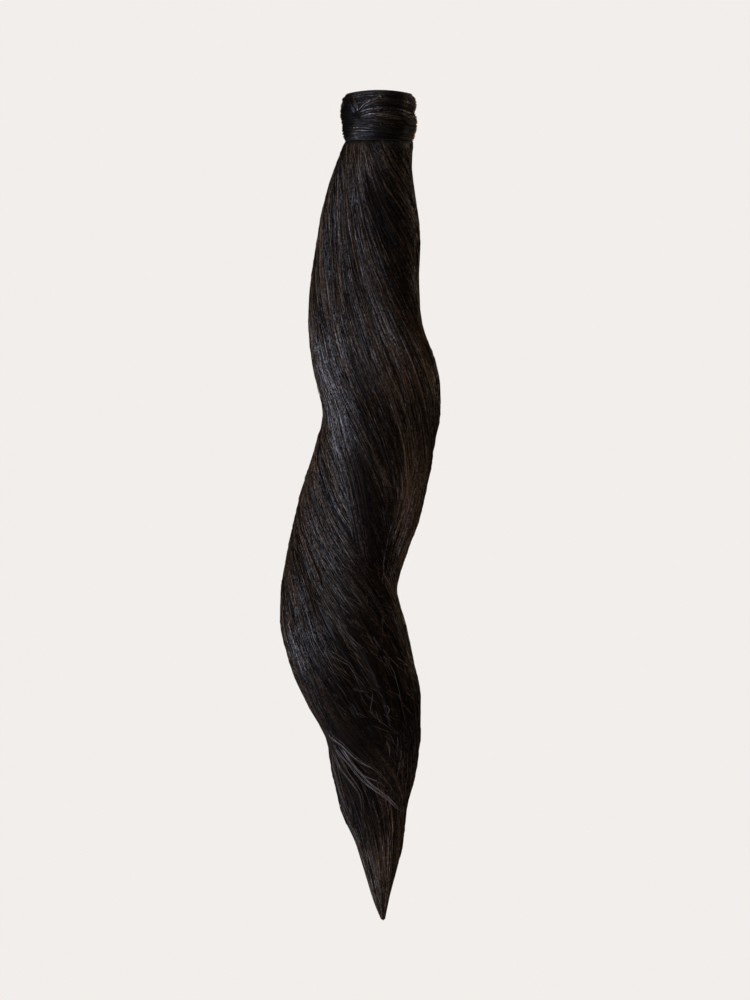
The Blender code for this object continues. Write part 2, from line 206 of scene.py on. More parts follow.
# Locks wound round the collar. Each has a number of strands, its gloss, how much lighter its tone is than the
# rest, and rows of an angle in degrees round the collar, the share of its height below its top, half the
# lock's width and its lift in millimetres.
WOUND_COLUMNS = ("angle", "down", "half_width", "lift")
WOUND = {
    "back_high": (130, 0.6, 0.0, (
        (-40, 0.22, 5.0, 0.1), (60, 0.24, 5.0, 0.1), (140, 0.26, 5.0, 0.1), (222, 0.24, 4.0, -0.2),
    )),
    "back_middle": (150, 0.6, 0.0, (
        (-30, 0.5, 5.5, 0.1), (70, 0.52, 5.5, 0.1), (150, 0.5, 5.5, 0.1), (226, 0.48, 4.5, -0.2),
    )),
    "back_low": (130, 0.6, 0.0, ((-40, 0.8, 5.0, 0.1), (90, 0.8, 5.0, 0.1), (225, 0.78, 4.5, -0.2))),
    "left_side": (240, 0.05, -0.35, (
        (150, 0.42, 7.0, 0.4), (188, 0.44, 6.8, 0.8), (212, 0.47, 4.8, 0.4), (226, 0.52, 2.4, 0.0),
        (234, 0.56, 1.2, -0.6),
    )),
    "belt": (240, 1.2, -0.1, (
        (165, 0.72, 5.2, 0.5), (190, 0.72, 5.2, 0.6), (212, 0.72, 4.8, 0.3), (232, 0.73, 4.6, 0.4),
        (262, 0.76, 4.0, 0.3), (300, 0.82, 3.4, 0.2), (345, 0.84, 3.0, 0.1), (385, 0.84, 3.0, 0.0),
    )),
    "bottom_edge": (70, 0.5, -0.1, (
        (150, 0.94, 1.4, 0.0), (240, 0.95, 1.4, 0.1), (320, 0.95, 1.4, 0.1), (400, 0.94, 1.4, 0.0),
    )),
    "top_edge": (90, 0.9, -0.05, (
        (170, 0.07, 1.8, 0.0), (230, 0.07, 1.8, 0.1), (290, 0.06, 1.8, 0.2), (390, 0.07, 1.8, 0.0),
    )),
    "corner": (150, 1.4, -0.15, (
        (198, -0.06, 1.8, -0.2), (208, 0.05, 3.0, 0.3), (217, 0.18, 3.6, 0.6), (228, 0.33, 3.0, 0.6),
        (233, 0.46, 1.8, 0.4), (236, 0.56, 1.0, -0.5),
    )),
    "fan_low": (130, 0.45, -0.15, (
        (226, 0.56, 0.7, -0.3), (236, 0.57, 1.6, 0.5), (260, 0.62, 3.0, 0.6), (295, 0.7, 3.4, 0.5),
        (330, 0.77, 3.0, 0.3), (378, 0.8, 3.0, 0.0),
    )),
    "fan_middle": (170, 1.4, 0.05, (
        (228, 0.53, 0.8, -0.2), (238, 0.48, 1.8, 0.6), (258, 0.43, 2.8, 0.7), (295, 0.46, 3.4, 0.6),
        (330, 0.52, 3.4, 0.4), (378, 0.54, 3.4, 0.0),
    )),
    "fan_high": (160, 1.25, 0.05, (
        (230, 0.5, 0.8, -0.2), (238, 0.38, 1.8, 0.5), (250, 0.25, 2.4, 0.7), (272, 0.17, 2.6, 0.6),
        (305, 0.21, 3.2, 0.5), (335, 0.27, 3.4, 0.3), (378, 0.3, 3.4, 0.0),
    )),
    "under_high": (120, 0.3, -0.3, (
        (150, 0.18, 5.0, -0.3), (230, 0.2, 5.0, -0.2), (300, 0.22, 5.0, -0.2), (390, 0.24, 5.0, -0.2),
    )),
    "under_middle": (120, 0.3, -0.3, (
        (150, 0.46, 5.0, -0.3), (230, 0.46, 5.0, -0.2), (300, 0.5, 5.0, -0.2), (390, 0.52, 5.0, -0.2),
    )),
    "crossing": (5, 0.8, 0.5, (
        (288, 0.4, 0.9, 0.8), (303, 0.52, 0.8, 1.0), (322, 0.66, 0.8, 0.9), (343, 0.76, 0.8, 0.3),
    )),
    "left_seam": (70, 0.05, -0.35, (
        (160, 0.65, 2.2, 0.2), (188, 0.66, 3.0, 1.0), (205, 0.66, 2.6, 0.7), (222, 0.65, 1.6, -0.3),
    )),
}

# Bands of hair that cross the tail's front: how many strands, and rows of a drop, how far across the front
# the band's two edges lie (-1 at the left side, 1 at the right side) and its lift in millimetres.
BAND_COLUMNS = ("drop", "left", "right", "lift")
BANDS = {
    "notch_band": (260, (
        (0.22, -0.99, -0.84, -0.2), (0.3, -0.98, -0.74, 0.3), (0.346, -0.96, -0.62, 0.6),
        (0.392, -0.74, -0.3, 0.8), (0.44, -0.4, 0.02, 0.6), (0.487, -0.12, 0.26, 0.3), (0.54, 0.24, 0.54, -0.1),
        (0.575, 0.6, 0.84, -0.6),
    )),
    "right_drape": (150, (
        (0.36, 0.58, 0.96, -0.2), (0.42, 0.58, 0.97, 0.3), (0.47, 0.58, 0.97, 0.5), (0.52, 0.62, 0.97, 0.4),
        (0.56, 0.72, 0.96, 0.1), (0.585, 0.82, 0.95, -0.6),
    )),
    "fringe_band": (120, (
        (0.6, -0.99, -0.8, -0.2), (0.68, -0.98, -0.66, 0.4), (0.73, -0.97, -0.68, 0.8),
        (0.762, -0.95, -0.72, 1.2), (0.785, -0.62, -0.4, 1.3), (0.81, -0.16, 0.02, 1.3),
        (0.835, 0.32, 0.46, 1.2), (0.862, 0.9, 0.97, 0.6),
    )),
    "fringe_veil": (110, (
        (0.69, -0.9, -0.4, -0.3), (0.73, -0.86, -0.3, 0.2), (0.76, -0.78, -0.02, 0.5),
        (0.785, -0.52, 0.34, 0.6), (0.81, -0.1, 0.64, 0.6), (0.835, 0.36, 0.84, 0.4), (0.858, 0.8, 0.95, -0.3),
    )),
}

# Painted shade and painted sheen: places on the front where the hair is painted duller and darker, standing in for
# shade, or glossier and lighter, standing in for highlight: millimetres to the right of the collar's axis and
# below its top, half the place's width and length in millimetres, its slant in degrees from straight down towards
# the right, and how much duller it is painted, below 0 where it is painted glossier.
PAINTED_SHADE_AND_SHEEN = {
    "left_of_collar": (-22.7, 17.8, 6.1, 22.1, 0, 0.97),
    "collar_corner": (-15.3, 7.4, 3.7, 5.5, 0, -0.1),
    "collar_pinch": (-15.3, 15.6, 3.7, 1.6, 0, 0.95),
    "painted_highlight_column": (-14.1, 26.4, 2.5, 7.4, 0, -1.3),
    "beside_column": (-4.9, 30.1, 4.9, 7.4, 0, 0.55),
    "collar_middle": (3.1, 16.0, 9.2, 4.3, 0, -1.0),
    "collar_arcs": (-3.1, 6.7, 8.6, 3.7, 0, -0.6),
    "collar_low": (5.5, 27.6, 10.4, 5.5, 0, 0.5),
    "collar_high_right": (14.1, 6.7, 6.1, 4.3, 0, 0.1),
    "right_of_collar": (20.9, 16.6, 3.1, 18.4, 0, 0.75),
    "upper_middle": (-1.8, 70.6, 7.4, 22.1, 14, 0.8),
    "upper_right": (11.7, 91.4, 8.6, 36.8, 14, 0.25),
    "upper_left": (-33.7, 106.7, 5.5, 49.1, -8, 0.15),
    "neck_left": (-15.3, 41.1, 12.3, 12.3, 0, -0.25),
    "shoulder_middle": (1.8, 149.7, 9.8, 19.6, 20, -0.35),
    "shoulder_right": (20.2, 166.3, 13.5, 28.2, 0, -0.9),
    "notch_left": (-29.4, 190.8, 6.1, 20.9, 10, -0.3),
    "below_notch_band": (-8.0, 254.0, 9.2, 46.6, 10, 0.8),
    "middle_left": (-20.9, 287.7, 8.6, 24.5, 15, 0.1),
    "right_drape": (18.4, 249.7, 6.1, 36.8, -8, -2),
    "bulge_left": (-48.5, 336.8, 8.6, 20.9, 10, 0.3),
    "bulge_middle": (-14.1, 330.7, 17.2, 23.3, 15, 1.0),
    "hollow": (-9.2, 372.4, 20.2, 28.2, 20, 1.6),
    "below_right_notch": (14.7, 373.6, 9.8, 27.0, 10, 0.65),
    "fringe_left": (-21.5, 421.5, 10.4, 29.4, 15, 0.95),
    "above_fringe": (-17.8, 403.1, 11.0, 12.3, 30, 0.6),
    "tuft_middle": (-6.7, 442.3, 9.8, 20.9, 15, 0.5),
    "tuft_low": (3.7, 479.1, 14.7, 25.8, 10, -0.6),
}

# Wisps and single hairs that lie loose over the lower front. Each has a number of hairs, half its spread in
# millimetres, its hairs' half thickness as a share of a strand's width, its tone, its lift in millimetres,
# and its places: millimetres to the right of the collar's axis and below the collar's top.
# Tones near or above 1 reach the pale colour: partly lighter hair, partly painted highlight where the wisps catch
# light.
WISPS = {
    # Painted highlight: these fringe hairs have a tone above 1, which reaches the pale colour and stands in for
    # the sheen on the fringe's strands.
    "fringe_highlight": (8, 2.6, 0.19, 1.4, 1.5, (
        (-27.7, 400.3), (-23.2, 404.1), (-19.0, 409.2), (-14.7, 415.8), (-9.1, 422.0), (-3.4, 426.7),
        (1.3, 430.1), (6.0, 433.7), (10.7, 439.0), (15.0, 442.3),
    )),
    "fringe_upper": (4, 2.6, 0.17, 0.95, 1.5, (
        (-32.5, 389.0), (-27.9, 395.1), (-23.2, 398.4), (-18.0, 403.6), (-12.9, 408.8), (-7.2, 412.6),
        (-2.5, 415.3), (3.1, 422.1),
    )),
    "fringe_curl": (2, 1.0, 0.18, 1.1, 1.5, (
        (-21.5, 404.3), (-17.2, 409.8), (-8.6, 420.2), (-1.5, 422.9), (3.7, 426.4),
    )),
    "tuft_inner": (6, 2.6, 0.18, 0.75, 0.9, (
        (-30.1, 399.4), (-27.9, 404.1), (-25.2, 410.2), (-20.4, 418.7), (-15.6, 424.8), (-11.0, 432.8),
        (-10.0, 443.3),
    )),
    "tuft_outer": (4, 2.2, 0.18, 0.4, 0.9, ((-29.4, 405.5), (-26.4, 417.8), (-22.7, 431.9), (-16.6, 447.2))),
    "right_1": (2, 0.8, 0.24, 0.6, 0.0, ((3.7, 398.8), (6.1, 403.7), (5.8, 408.6))),
    "right_2": (2, 0.8, 0.24, 0.65, 0.0, ((12.9, 399.4), (13.5, 408.6), (11.7, 416.6), (10.4, 424.5))),
    "right_3": (2, 1.4, 0.2, 0.55, 0.0, ((18.4, 405.5), (17.8, 419.6), (16.0, 428.8), (14.1, 435.0))),
    "right_4": (1, 0.2, 0.24, 0.6, 0.0, ((11.0, 395.1), (11.3, 405.5))),
    "loose_1": (1, 0.2, 0.24, 0.8, 0.0, ((-30.7, 311.7), (-25.2, 317.2))),
    "loose_2": (2, 0.8, 0.22, 0.65, 0.0, ((-24.5, 315.3), (-17.8, 320.9))),
    "loose_3": (3, 1.8, 0.18, 0.6, 0.0, ((-31.9, 317.2), (-26.4, 323.9), (-20.9, 335.6), (-16.6, 345.4))),
    "loose_4": (2, 1.2, 0.18, 0.7, 0.0, ((-19.0, 334.4), (-11.0, 342.3))),
    "loose_5": (4, 3.4, 0.17, 0.75, 0.0, ((-30.1, 342.9), (-23.9, 346.6), (-17.8, 350.9), (-12.9, 358.9))),
    "loose_6": (3, 2.4, 0.17, 0.7, 0.0, ((-27.6, 349.1), (-22.1, 355.8), (-17.2, 359.5))),
    "loose_7": (2, 0.8, 0.22, 0.65, 0.0, ((-3.1, 334.4), (1.8, 342.9))),
    "loose_8": (2, 0.7, 0.19, 0.75, 0.0, ((5.5, 346.6), (10.4, 351.5), (14.7, 355.2))),
    "loose_9": (2, 0.7, 0.19, 0.85, 0.0, ((10.4, 346.6), (16.6, 351.5), (19.9, 355.8))),
    "kinked": (1, 0.1, 0.19, 0.75, 0.0, (
        (-7.4, 365.6), (-3.1, 368.7), (-3.7, 373.6), (-5.5, 380.4), (-1.8, 381.6), (0.6, 385.9), (6.7, 390.2),
        (12.9, 395.7),
    )),
    "loose_10": (2, 0.8, 0.2, 0.55, 0.0, ((-16.6, 366.3), (-5.5, 368.7))),
    "loose_11": (2, 1.4, 0.19, 0.5, 0.0, ((7.4, 352.8), (11.7, 367.5), (14.1, 379.8), (16.0, 388.3))),
    "loose_12": (1, 0.2, 0.22, 0.6, 0.0, ((5.5, 376.1), (6.7, 379.1), (5.5, 382.2))),
    "tip": (3, 0.8, 0.2, 0.9, 0.0, ((-2.5, 481.6), (0.6, 489.6))),
    "golden_1": (3, 1.8, 0.2, 0.45, 0.0, ((4.3, 309.8), (8.6, 318.4), (12.3, 331.9), (14.7, 342.9))),
}

# The tail's layers of strands: how many, the steps of each, its least and greatest length, and how many
# degrees it commonly strays from the hair's flow.
LONG_LAYER, SHORT_LAYER = (3900, 8, 0.045, 0.100, 0.8), (7000, 5, 0.018, 0.045, 2.6)
LAYERS = (LONG_LAYER, LONG_LAYER, SHORT_LAYER, SHORT_LAYER)
BAND_STEPS = 12
COLLAR_STEPS = 13
LOOSE_ENDS = 170

# How the tail's strands lie in their locks: half a lock's width, its lift and the sway of a strand in metres,
# the share of unruly strands and how much more they stray, and the share of a strand's length at each end
# over which it dives, to this many times the cover.
LOCK_HALF_WIDTHS = (0.0010, 0.0030)
LOCK_LIFTS = (-0.0003, 0.0004)
SWAY = 0.0003
UNRULY_SHARE = 0.14
UNRULY_SLANT = 2.5
DIVE_SHARE = 0.12
DIVE_DEPTH = 1.7
COLLAR_DIVE_SHARE = 0.10
COLLAR_DIVE_DEPTH = 1.8

# Tones and glosses of single strands: the most of each, the power that keeps most strands dark and dull, what
# a streak adds to the tone, what is cut from every tone, and the share of light brown strands.
TONE_MOST = 1.05
GLOSS_MOST = 0.85
DULLING_POWER = 2.4
STREAK_TONE = 0.40
TONE_CUT = 0.12
LIGHT_SHARE = 0.02

# The steps for slopes along the tail and the collar, in shares of their length, and along wisps and wound
# locks in metres.
LEVEL_STEP = 0.002
SLOPE_STEP = 0.01
WISP_STEP = 0.0004
WOUND_STEP = 0.0005

# Roughness, specular level, gloss roughness and gloss index of the hair's finishes, how much a place's painted
# shade darkens its tone and its painted sheen lightens it, the tight collar's colours as a share of the tail's, a
# darker copy that is painted shade, and how much lighter than its own colour the strap's light threads are.
TAIL_FINISH = (0.50, 0.04, 0.37, 2.0)
COLLAR_FINISH = (0.50, 0.06, 0.28, 2.1)
LOOSE_FINISH = (0.45, 0.3, 0.36, 1.6)
PAINTED_SHADE_WEIGHT = 0.50
# Painted shade: the collar's strands take a darker copy of the tail's colours.
COLLAR_SHADE_SHARE = 0.45
STRAP_LIGHTNESS = 2.2

# The softboxes: name, place, the place that each is aimed at, width, height, spread in degrees, power in watts
# and colour.
TAIL_MIDDLE = (0, 0, -0.25)
LIGHTS = (
    ("key_light", (-1.85, -0.60, -0.20), TAIL_MIDDLE, 0.9, 1.8, 180, 37.0, (0.69, 0.77, 1.0)),
    ("left_light", (-1.40, -1.40, -0.40), TAIL_MIDDLE, 0.9, 1.4, 180, 36.0, (0.71, 0.78, 1.0)),
    ("front_left_light", (-0.90, -1.90, 0.10), TAIL_MIDDLE, 0.7, 0.7, 180, 25.0, (0.80, 0.81, 1.0)),
    ("top_light", (-0.10, -1.70, 1.70), TAIL_MIDDLE, 1.2, 0.9, 180, 12.0, (1.0, 0.88, 0.76)),
    ("collar_light", (-0.10, -1.70, 0.90), (0, 0, 0.030), 0.10, 0.04, 3, 0.011, (1.0, 0.93, 0.88)),
    ("side_light", (2.00, 1.30, 0.10), TAIL_MIDDLE, 0.8, 1.2, 180, 11.0, (1.0, 0.78, 0.62)),
    ("right_light", (1.90, 0.10, -0.20), TAIL_MIDDLE, 0.5, 0.6, 180, 6.0, (1.0, 0.74, 0.54)),
    ("rim_light", (0.60, 2.00, -0.10), TAIL_MIDDLE, 0.4, 1.2, 180, 13.0, (1.0, 0.52, 0.26)),
    ("back_light", (-0.25, 2.05, 0.20), TAIL_MIDDLE, 0.8, 1.2, 180, 22.0, (1.0, 0.80, 0.66)),
)

# The dim light that comes from all round.
WORLD_COLOUR = (1.0, 0.92, 0.85)
WORLD_STRENGTH = 0.018

# The camera. One pixel of the photograph's 750 by 1000 frame is this long at the collar's axis.
PIXEL = 0.0006135
PHOTO_WIDTH, PHOTO_HEIGHT = 750, 1000
COLLAR_AXIS_PIXEL, COLLAR_TOP_PIXEL = 379.0, 91.0
CAMERA_LENS, CAMERA_SENSOR = 400.0, 36.0
CAMERA_DISTANCE = CAMERA_LENS / CAMERA_SENSOR * PHOTO_HEIGHT * PIXEL
CAMERA_AIM_X = (PHOTO_WIDTH / 2 - COLLAR_AXIS_PIXEL) * PIXEL
CAMERA_AIM_Z = -(PHOTO_HEIGHT / 2 - COLLAR_TOP_PIXEL) * PIXEL

# The floor: how far below the tip it lies, its radius, and the radius from which it fades out.
FLOOR_DROP = 0.19
FLOOR_RADIUS = 0.60
FLOOR_FADE_START = 0.30


def column(table, columns, name):
    """One named column of a table, as an array."""
    return np.array([row[columns.index(name)] for row in table], float)


def eased(x, known_x, known_y):
    """A monotone cubic through known points: each span is a Hermite curve whose end slopes are the weighted
    harmonic mean of the spans beside them, or 0 where those turn back."""
    step = np.diff(known_x)
    slope = np.diff(known_y) / step
    tangent = np.zeros(len(known_x))
    tangent[0] = slope[0]
    tangent[-1] = slope[-1]
    same_way = slope[:-1] * slope[1:] > 0
    weight_before = 2 * step[1:] + step[:-1]
    weight_after = step[1:] + 2 * step[:-1]
    before = np.where(same_way, slope[:-1], 1.0)
    after = np.where(same_way, slope[1:], 1.0)
    mean = (weight_before + weight_after) / (weight_before / before + weight_after / after)
    tangent[1:-1] = np.where(same_way, mean, 0.0)
    x = np.clip(x, known_x[0], known_x[-1])
    i = np.clip(np.searchsorted(known_x, x) - 1, 0, len(step) - 1)
    t = (x - known_x[i]) / step[i]
    return (
        known_y[i] * (1 + 2 * t) * (1 - t) ** 2
        + known_y[i + 1] * t * t * (3 - 2 * t)
        + step[i] * t * (1 - t) * (tangent[i] * (1 - t) - tangent[i + 1] * t)
    )


def read(table, columns, at):
    """A table's later columns at values of its first one, by the smooth curves through its rows."""
    known = column(table, columns, columns[0])
    return [eased(at, known, column(table, columns, name)) for name in columns[1:]]


def smooth(t):
    """Eases from 0 to 1 as t goes from 0 to 1."""
    t = np.clip(t, 0.0, 1.0)
    return t * t * (3 - 2 * t)


def rounded(t):
    """A quarter circle that rises from 0 to 1 as t goes from 0 to 1."""
    return np.sqrt(1 - (1 - np.clip(t, 0.0, 1.0)) ** 2)


def unit(vectors):
    """Vectors scaled to length 1."""
    return vectors / np.maximum(np.linalg.norm(vectors, axis=-1, keepdims=True), 1e-12)


def outline_curve(name, at_collar, scale, drop):
    """One column of the outline at each drop, scaled, from its value at the collar."""
    known_drop = np.concatenate([[0.0], column(OUTLINE, OUTLINE_COLUMNS, "drop")])
    return eased(drop, known_drop, np.concatenate([[at_collar], scale * column(OUTLINE, OUTLINE_COLUMNS, name)]))


def reach(name, drop):
    """How far the tail reaches to one side of the collar's axis at each drop."""
    full = TAIL_WIDTH if name in ("left", "right") else TAIL_DEPTH
    return outline_curve(name, NECK_RADIUS, full / 2, drop)


def half_width_at(drop):
    """Half the tail's width at each drop: the mean of its reaches to the left and right."""
    return (reach("left", drop) + reach("right", drop)) / 2


def shift_at(drop):
    """How far the middle of the tail's width lies to the right of the collar's axis at each drop."""
    return (reach("right", drop) - reach("left", drop)) / 2


def strand_turn(drop):
    """The angle that the strands have turned through at each drop."""
    return 2 * math.pi * TAIL_TURNS * outline_curve("turn", 0.0, 1.0, drop)


def nearest_way(angle):
    """An angle brought to between half a turn back and half a turn on."""
    return (angle + math.pi) % (2 * math.pi) - math.pi


def seam_relief(angle, drop, radius):
    """How deep the hair lies beside the spiral seam: one share behind it and another ahead, joined by a
    short step at the seam, fading with distance as a bell curve, and 0 at the left and right sides."""
    turn, behind, ahead = read(SEAM, SEAM_COLUMNS, drop)
    away = nearest_way(angle - 2 * math.pi * turn)
    side = smooth(0.5 + away / (4 * math.pi * SEAM_EDGE_TURN))
    nearness = np.exp(-((away * radius / SEAM_REACH) ** 2))
    return (behind + (ahead - behind) * side) * nearness * np.sin(angle) ** 2


def fringe_relief(angle, drop):
    """How deep the tuft lies below the front layer: 0 above the layer's slanting edge and on the back, and
    growing to 1 below it in the middle of the front."""
    across = (angle % (2 * math.pi)) / math.pi - 1.0
    edge = FRINGE_LEFT_DROP + (FRINGE_RIGHT_DROP - FRINGE_LEFT_DROP) * np.clip(across, 0.0, 1.0)
    return np.clip(-np.sin(angle), 0.0, 1.0) * smooth((drop - edge) / FRINGE_RAMP)


def dip_relief(angle, drop):
    """How deep the shaded dip is: a bell curve round its middle, in angle and in drop."""
    away = nearest_way(angle - DIP_ANGLE)
    return np.exp(-((away / DIP_HALF_ANGLE) ** 2) - ((drop - DIP_DROP) / DIP_HALF_DROP) ** 2)


def painted_shade_at(points):
    """How glossy and light the hair is painted at points, as painted shade and sheen: 1 less the sum of bell
    curves, one for each named place on the front, long along its slant. Below 1 is painted shade and above 1
    painted sheen. It fades to 1 behind the sides."""
    shade = np.ones(points.shape[:-1])
    front = smooth((0.012 - points[..., 1]) / 0.008)
    for across, down, half_width, half_length, slant, strength in PAINTED_SHADE_AND_SHEEN.values():
        x, z = points[..., 0] - 0.001 * across, -points[..., 2] - 0.001 * down
        sine, cosine = math.sin(math.radians(slant)), math.cos(math.radians(slant))
        beside, along = x * cosine - z * sine, x * sine + z * cosine
        far = (beside / (0.001 * half_width)) ** 2 + (along / (0.001 * half_length)) ** 2
        shade = shade - strength * np.exp(-far) * front
    return np.clip(shade, 0.03, 3.0)


def tail_at(angle, drop, lift):
    """Points of the tail, with their outward directions. Each level section is an ellipse between the four
    reaches, drawn in by the seam, the fringe and the dip, and pushed out by the lift."""
    left, right, front, back = (reach(name, drop) for name in ("left", "right", "front", "back"))
    half_width = np.maximum((left + right) / 2, TIP_BLUNTNESS)
    half_depth = np.maximum((front + back) / 2, TIP_BLUNTNESS)
    slenderness = np.minimum(half_width / (TAIL_WIDTH / 2), half_depth / (TAIL_DEPTH / 2))
    fullness = np.clip(slenderness, 0.0, 1.0)
    inward = fullness * (
        SEAM_DEPTH * seam_relief(angle, drop, half_width)
        + FRINGE_STEP * fringe_relief(angle, drop)
        + DIP_DEPTH * dip_relief(angle, drop)
    )
    out = np.clip(slenderness * 3.0, 0.0, 1.0) * lift - inward
    x = (half_width + out) * np.cos(angle) + (right - left) / 2
    y = (half_depth + out) * np.sin(angle) + (back - front) / 2
    z = TAIL_TOP - drop * TAIL_LENGTH + 0 * x
    outward = np.stack([np.cos(angle) * half_depth, np.sin(angle) * half_width, 0 * x], axis=-1)
    return np.stack([x, y, z], axis=-1), unit(outward)


def slant_rate(angle, drop):
    """How fast a strand turns round the tail as it goes down, in radians for the whole drop. On the front it
    gives the combed slant: the sideways step for that slant, less what the section's own growth and sideways
    shift give, divided by the section's half width times the share of the step that shows from the front.
    On the back it is the mean twist."""
    above, below = np.clip(drop - LEVEL_STEP, 0, 1), np.clip(drop + LEVEL_STEP, 0, 1)
    growth, shift, mean_twist = (
        (measure(below) - measure(above)) / (below - above) for measure in (half_width_at, shift_at, strand_turn)
    )
    across, facing = np.cos(angle), -np.sin(angle)
    slants = read(COMB, COMB_COLUMNS, drop)
    slant = slants[0] + 0 * across
    for place, next_place, here, after in zip(COMB_PLACES, COMB_PLACES[1:], slants, slants[1:]):
        slant = slant + (after - here) * smooth((across - place) / (next_place - place))
    wanted = TAIL_LENGTH * np.tan(np.radians(slant))
    shown = np.maximum(half_width_at(drop), 0.004) * np.maximum(facing, 0.6)
    combed = np.clip((wanted - growth * across - shift) / shown, -4.0, 26.0)
    return mean_twist + (combed - mean_twist) * smooth((facing - 0.10) / 0.55)


class Flow:
    """The way that the hair runs: a grid of angles, one column for each line of hair and one row for each
    level. The lines start evenly round the tail at one level, and are followed up and down by the slant."""

    def __init__(self, levels=321, lines=540, level_of_start=0.45):
        self.levels, self.lines = levels, lines
        first = round(level_of_start * (levels - 1))
        drop = np.linspace(0.0, 1.0, levels)
        step = drop[1]
        self.angle = np.empty((levels, lines + 1))
        self.angle[first] = 2 * math.pi * np.arange(lines + 1) / lines
        for way, rows in ((1, range(first, levels - 1)), (-1, range(first, 0, -1))):
            for row in rows:
                here = self.angle[row]
                half_way = here + way * slant_rate(here, drop[row]) * step / 2
                self.angle[row + way] = here + way * slant_rate(half_way, drop[row] + way * step / 2) * step
        share = np.arange(lines + 1) / lines
        self.share = np.stack([np.interp(row[0] + 2 * math.pi * share, row, share) for row in self.angle])

    def between(self, grid, along, drop):
        """A grid's value between its columns and rows, by the two nearest of each."""
        x = np.clip(along * self.lines, 0, self.lines - 1e-9)
        y = np.clip(drop * (self.levels - 1), 0, self.levels - 1 - 1e-9)
        i, j = x.astype(int), y.astype(int)
        x, y = x - i, y - j
        upper = grid[j, i] * (1 - x) + grid[j, i + 1] * x
        lower = grid[j + 1, i] * (1 - x) + grid[j + 1, i + 1] * x
        return upper * (1 - y) + lower * y

    def angle_at(self, share, drop):
        """The angle of a line of hair at a drop."""
        whole = np.floor(share)
        return self.between(self.angle, share - whole, drop + 0 * share) + 2 * math.pi * whole

    def share_at(self, angle, drop):
        """Which line of hair passes an angle at a drop."""
        away = (angle - self.between(self.angle, 0 * angle, drop + 0 * angle)) / (2 * math.pi)
        whole = np.floor(away)
        return self.between(self.share, away - whole, drop + 0 * away) + whole


class Ripple:
    """A smooth random field over the share of the way round and the drop: a sum of sine waves, each with
    a whole number of waves round the tail, a slow drift down it and a random phase."""

    def __init__(self, rng, fewest, most, waves, drift):
        self.count = rng.integers(fewest, most + 1, waves)
        self.drift = rng.uniform(-drift, drift, waves)
        self.phase = rng.uniform(0, 1, waves)

    def height(self, share, drop):
        """The field's value, about -1 to 1."""
        total = 0.0
        for count, drift, phase in zip(self.count, self.drift, self.phase):
            total = total + np.sin(2 * math.pi * (count * share + drift * drop + phase))
        return total / math.sqrt(len(self.count)) / 1.5


# The fields of locks, in random waves round the tail, and the height of each kind of lock in metres.
SEED = 20
HAIR_FLOW = Flow()
FIELDS = np.random.default_rng(SEED)
BROAD_LOCKS = Ripple(FIELDS, 4, 9, 4, 1.0)
LOCKS = Ripple(FIELDS, 18, 36, 5, 2.0)
FINE_LOCKS = Ripple(FIELDS, 60, 110, 6, 5.0)
TONE_FIELD = Ripple(FIELDS, 9, 60, 8, 4.0)
BROAD_RELIEF = 0.00035
LOCK_RELIEF = 0.00022
FINE_RELIEF = 0.00016


def lock_relief(share, drop):
    """How high the locks stand over the tail's plain surface, in metres."""
    fields = ((BROAD_RELIEF, BROAD_LOCKS), (LOCK_RELIEF, LOCKS), (FINE_RELIEF, FINE_LOCKS))
    return sum(relief * field.height(share, drop) for relief, field in fields)


def fill_mesh(name, points, quads, triangles, uv, **values):
    """A smooth mesh from arrays: points, faces of four and of three corners, and for each point a UV place
    and named values, numbers or vectors, that the finish reads."""
    mesh = bpy.data.meshes.new(name)
    corners = np.concatenate([quads.ravel(), triangles.ravel()]).astype(np.int32)
    starts = np.concatenate(
        [4 * np.arange(len(quads)), 4 * len(quads) + 3 * np.arange(len(triangles))]
    ).astype(np.int32)
    mesh.vertices.add(len(points))
    mesh.vertices.foreach_set("co", points.astype(np.float32).ravel())
    mesh.loops.add(len(corners))
    mesh.loops.foreach_set("vertex_index", corners)
    mesh.polygons.add(len(starts))
    mesh.polygons.foreach_set("loop_start", starts)
    mesh.update(calc_edges=True)
    mesh.uv_layers.new(name="strand")
    mesh.uv_layers["strand"].data.foreach_set("uv", uv[corners].astype(np.float32).ravel())
    for label, value in values.items():
        kind, field = ("FLOAT_VECTOR", "vector") if value.ndim == 2 else ("FLOAT", "value")
        mesh.attributes.new(label, kind, "POINT")
        mesh.attributes[label].data.foreach_set(field, value.astype(np.float32).ravel())
    mesh.shade_smooth()
    return mesh


def add_piece(name, mesh, finish, slot, *replaced):
    """Puts a finished mesh into the scene as a piece that rides on the root body."""
    piece = bpy.data.objects.new(name, mesh)
    bpy.context.scene.collection.objects.link(piece)
    mesh.materials.append(finish)
    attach(piece, "root")
    if replaced:
        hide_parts(*replaced)
    return piece


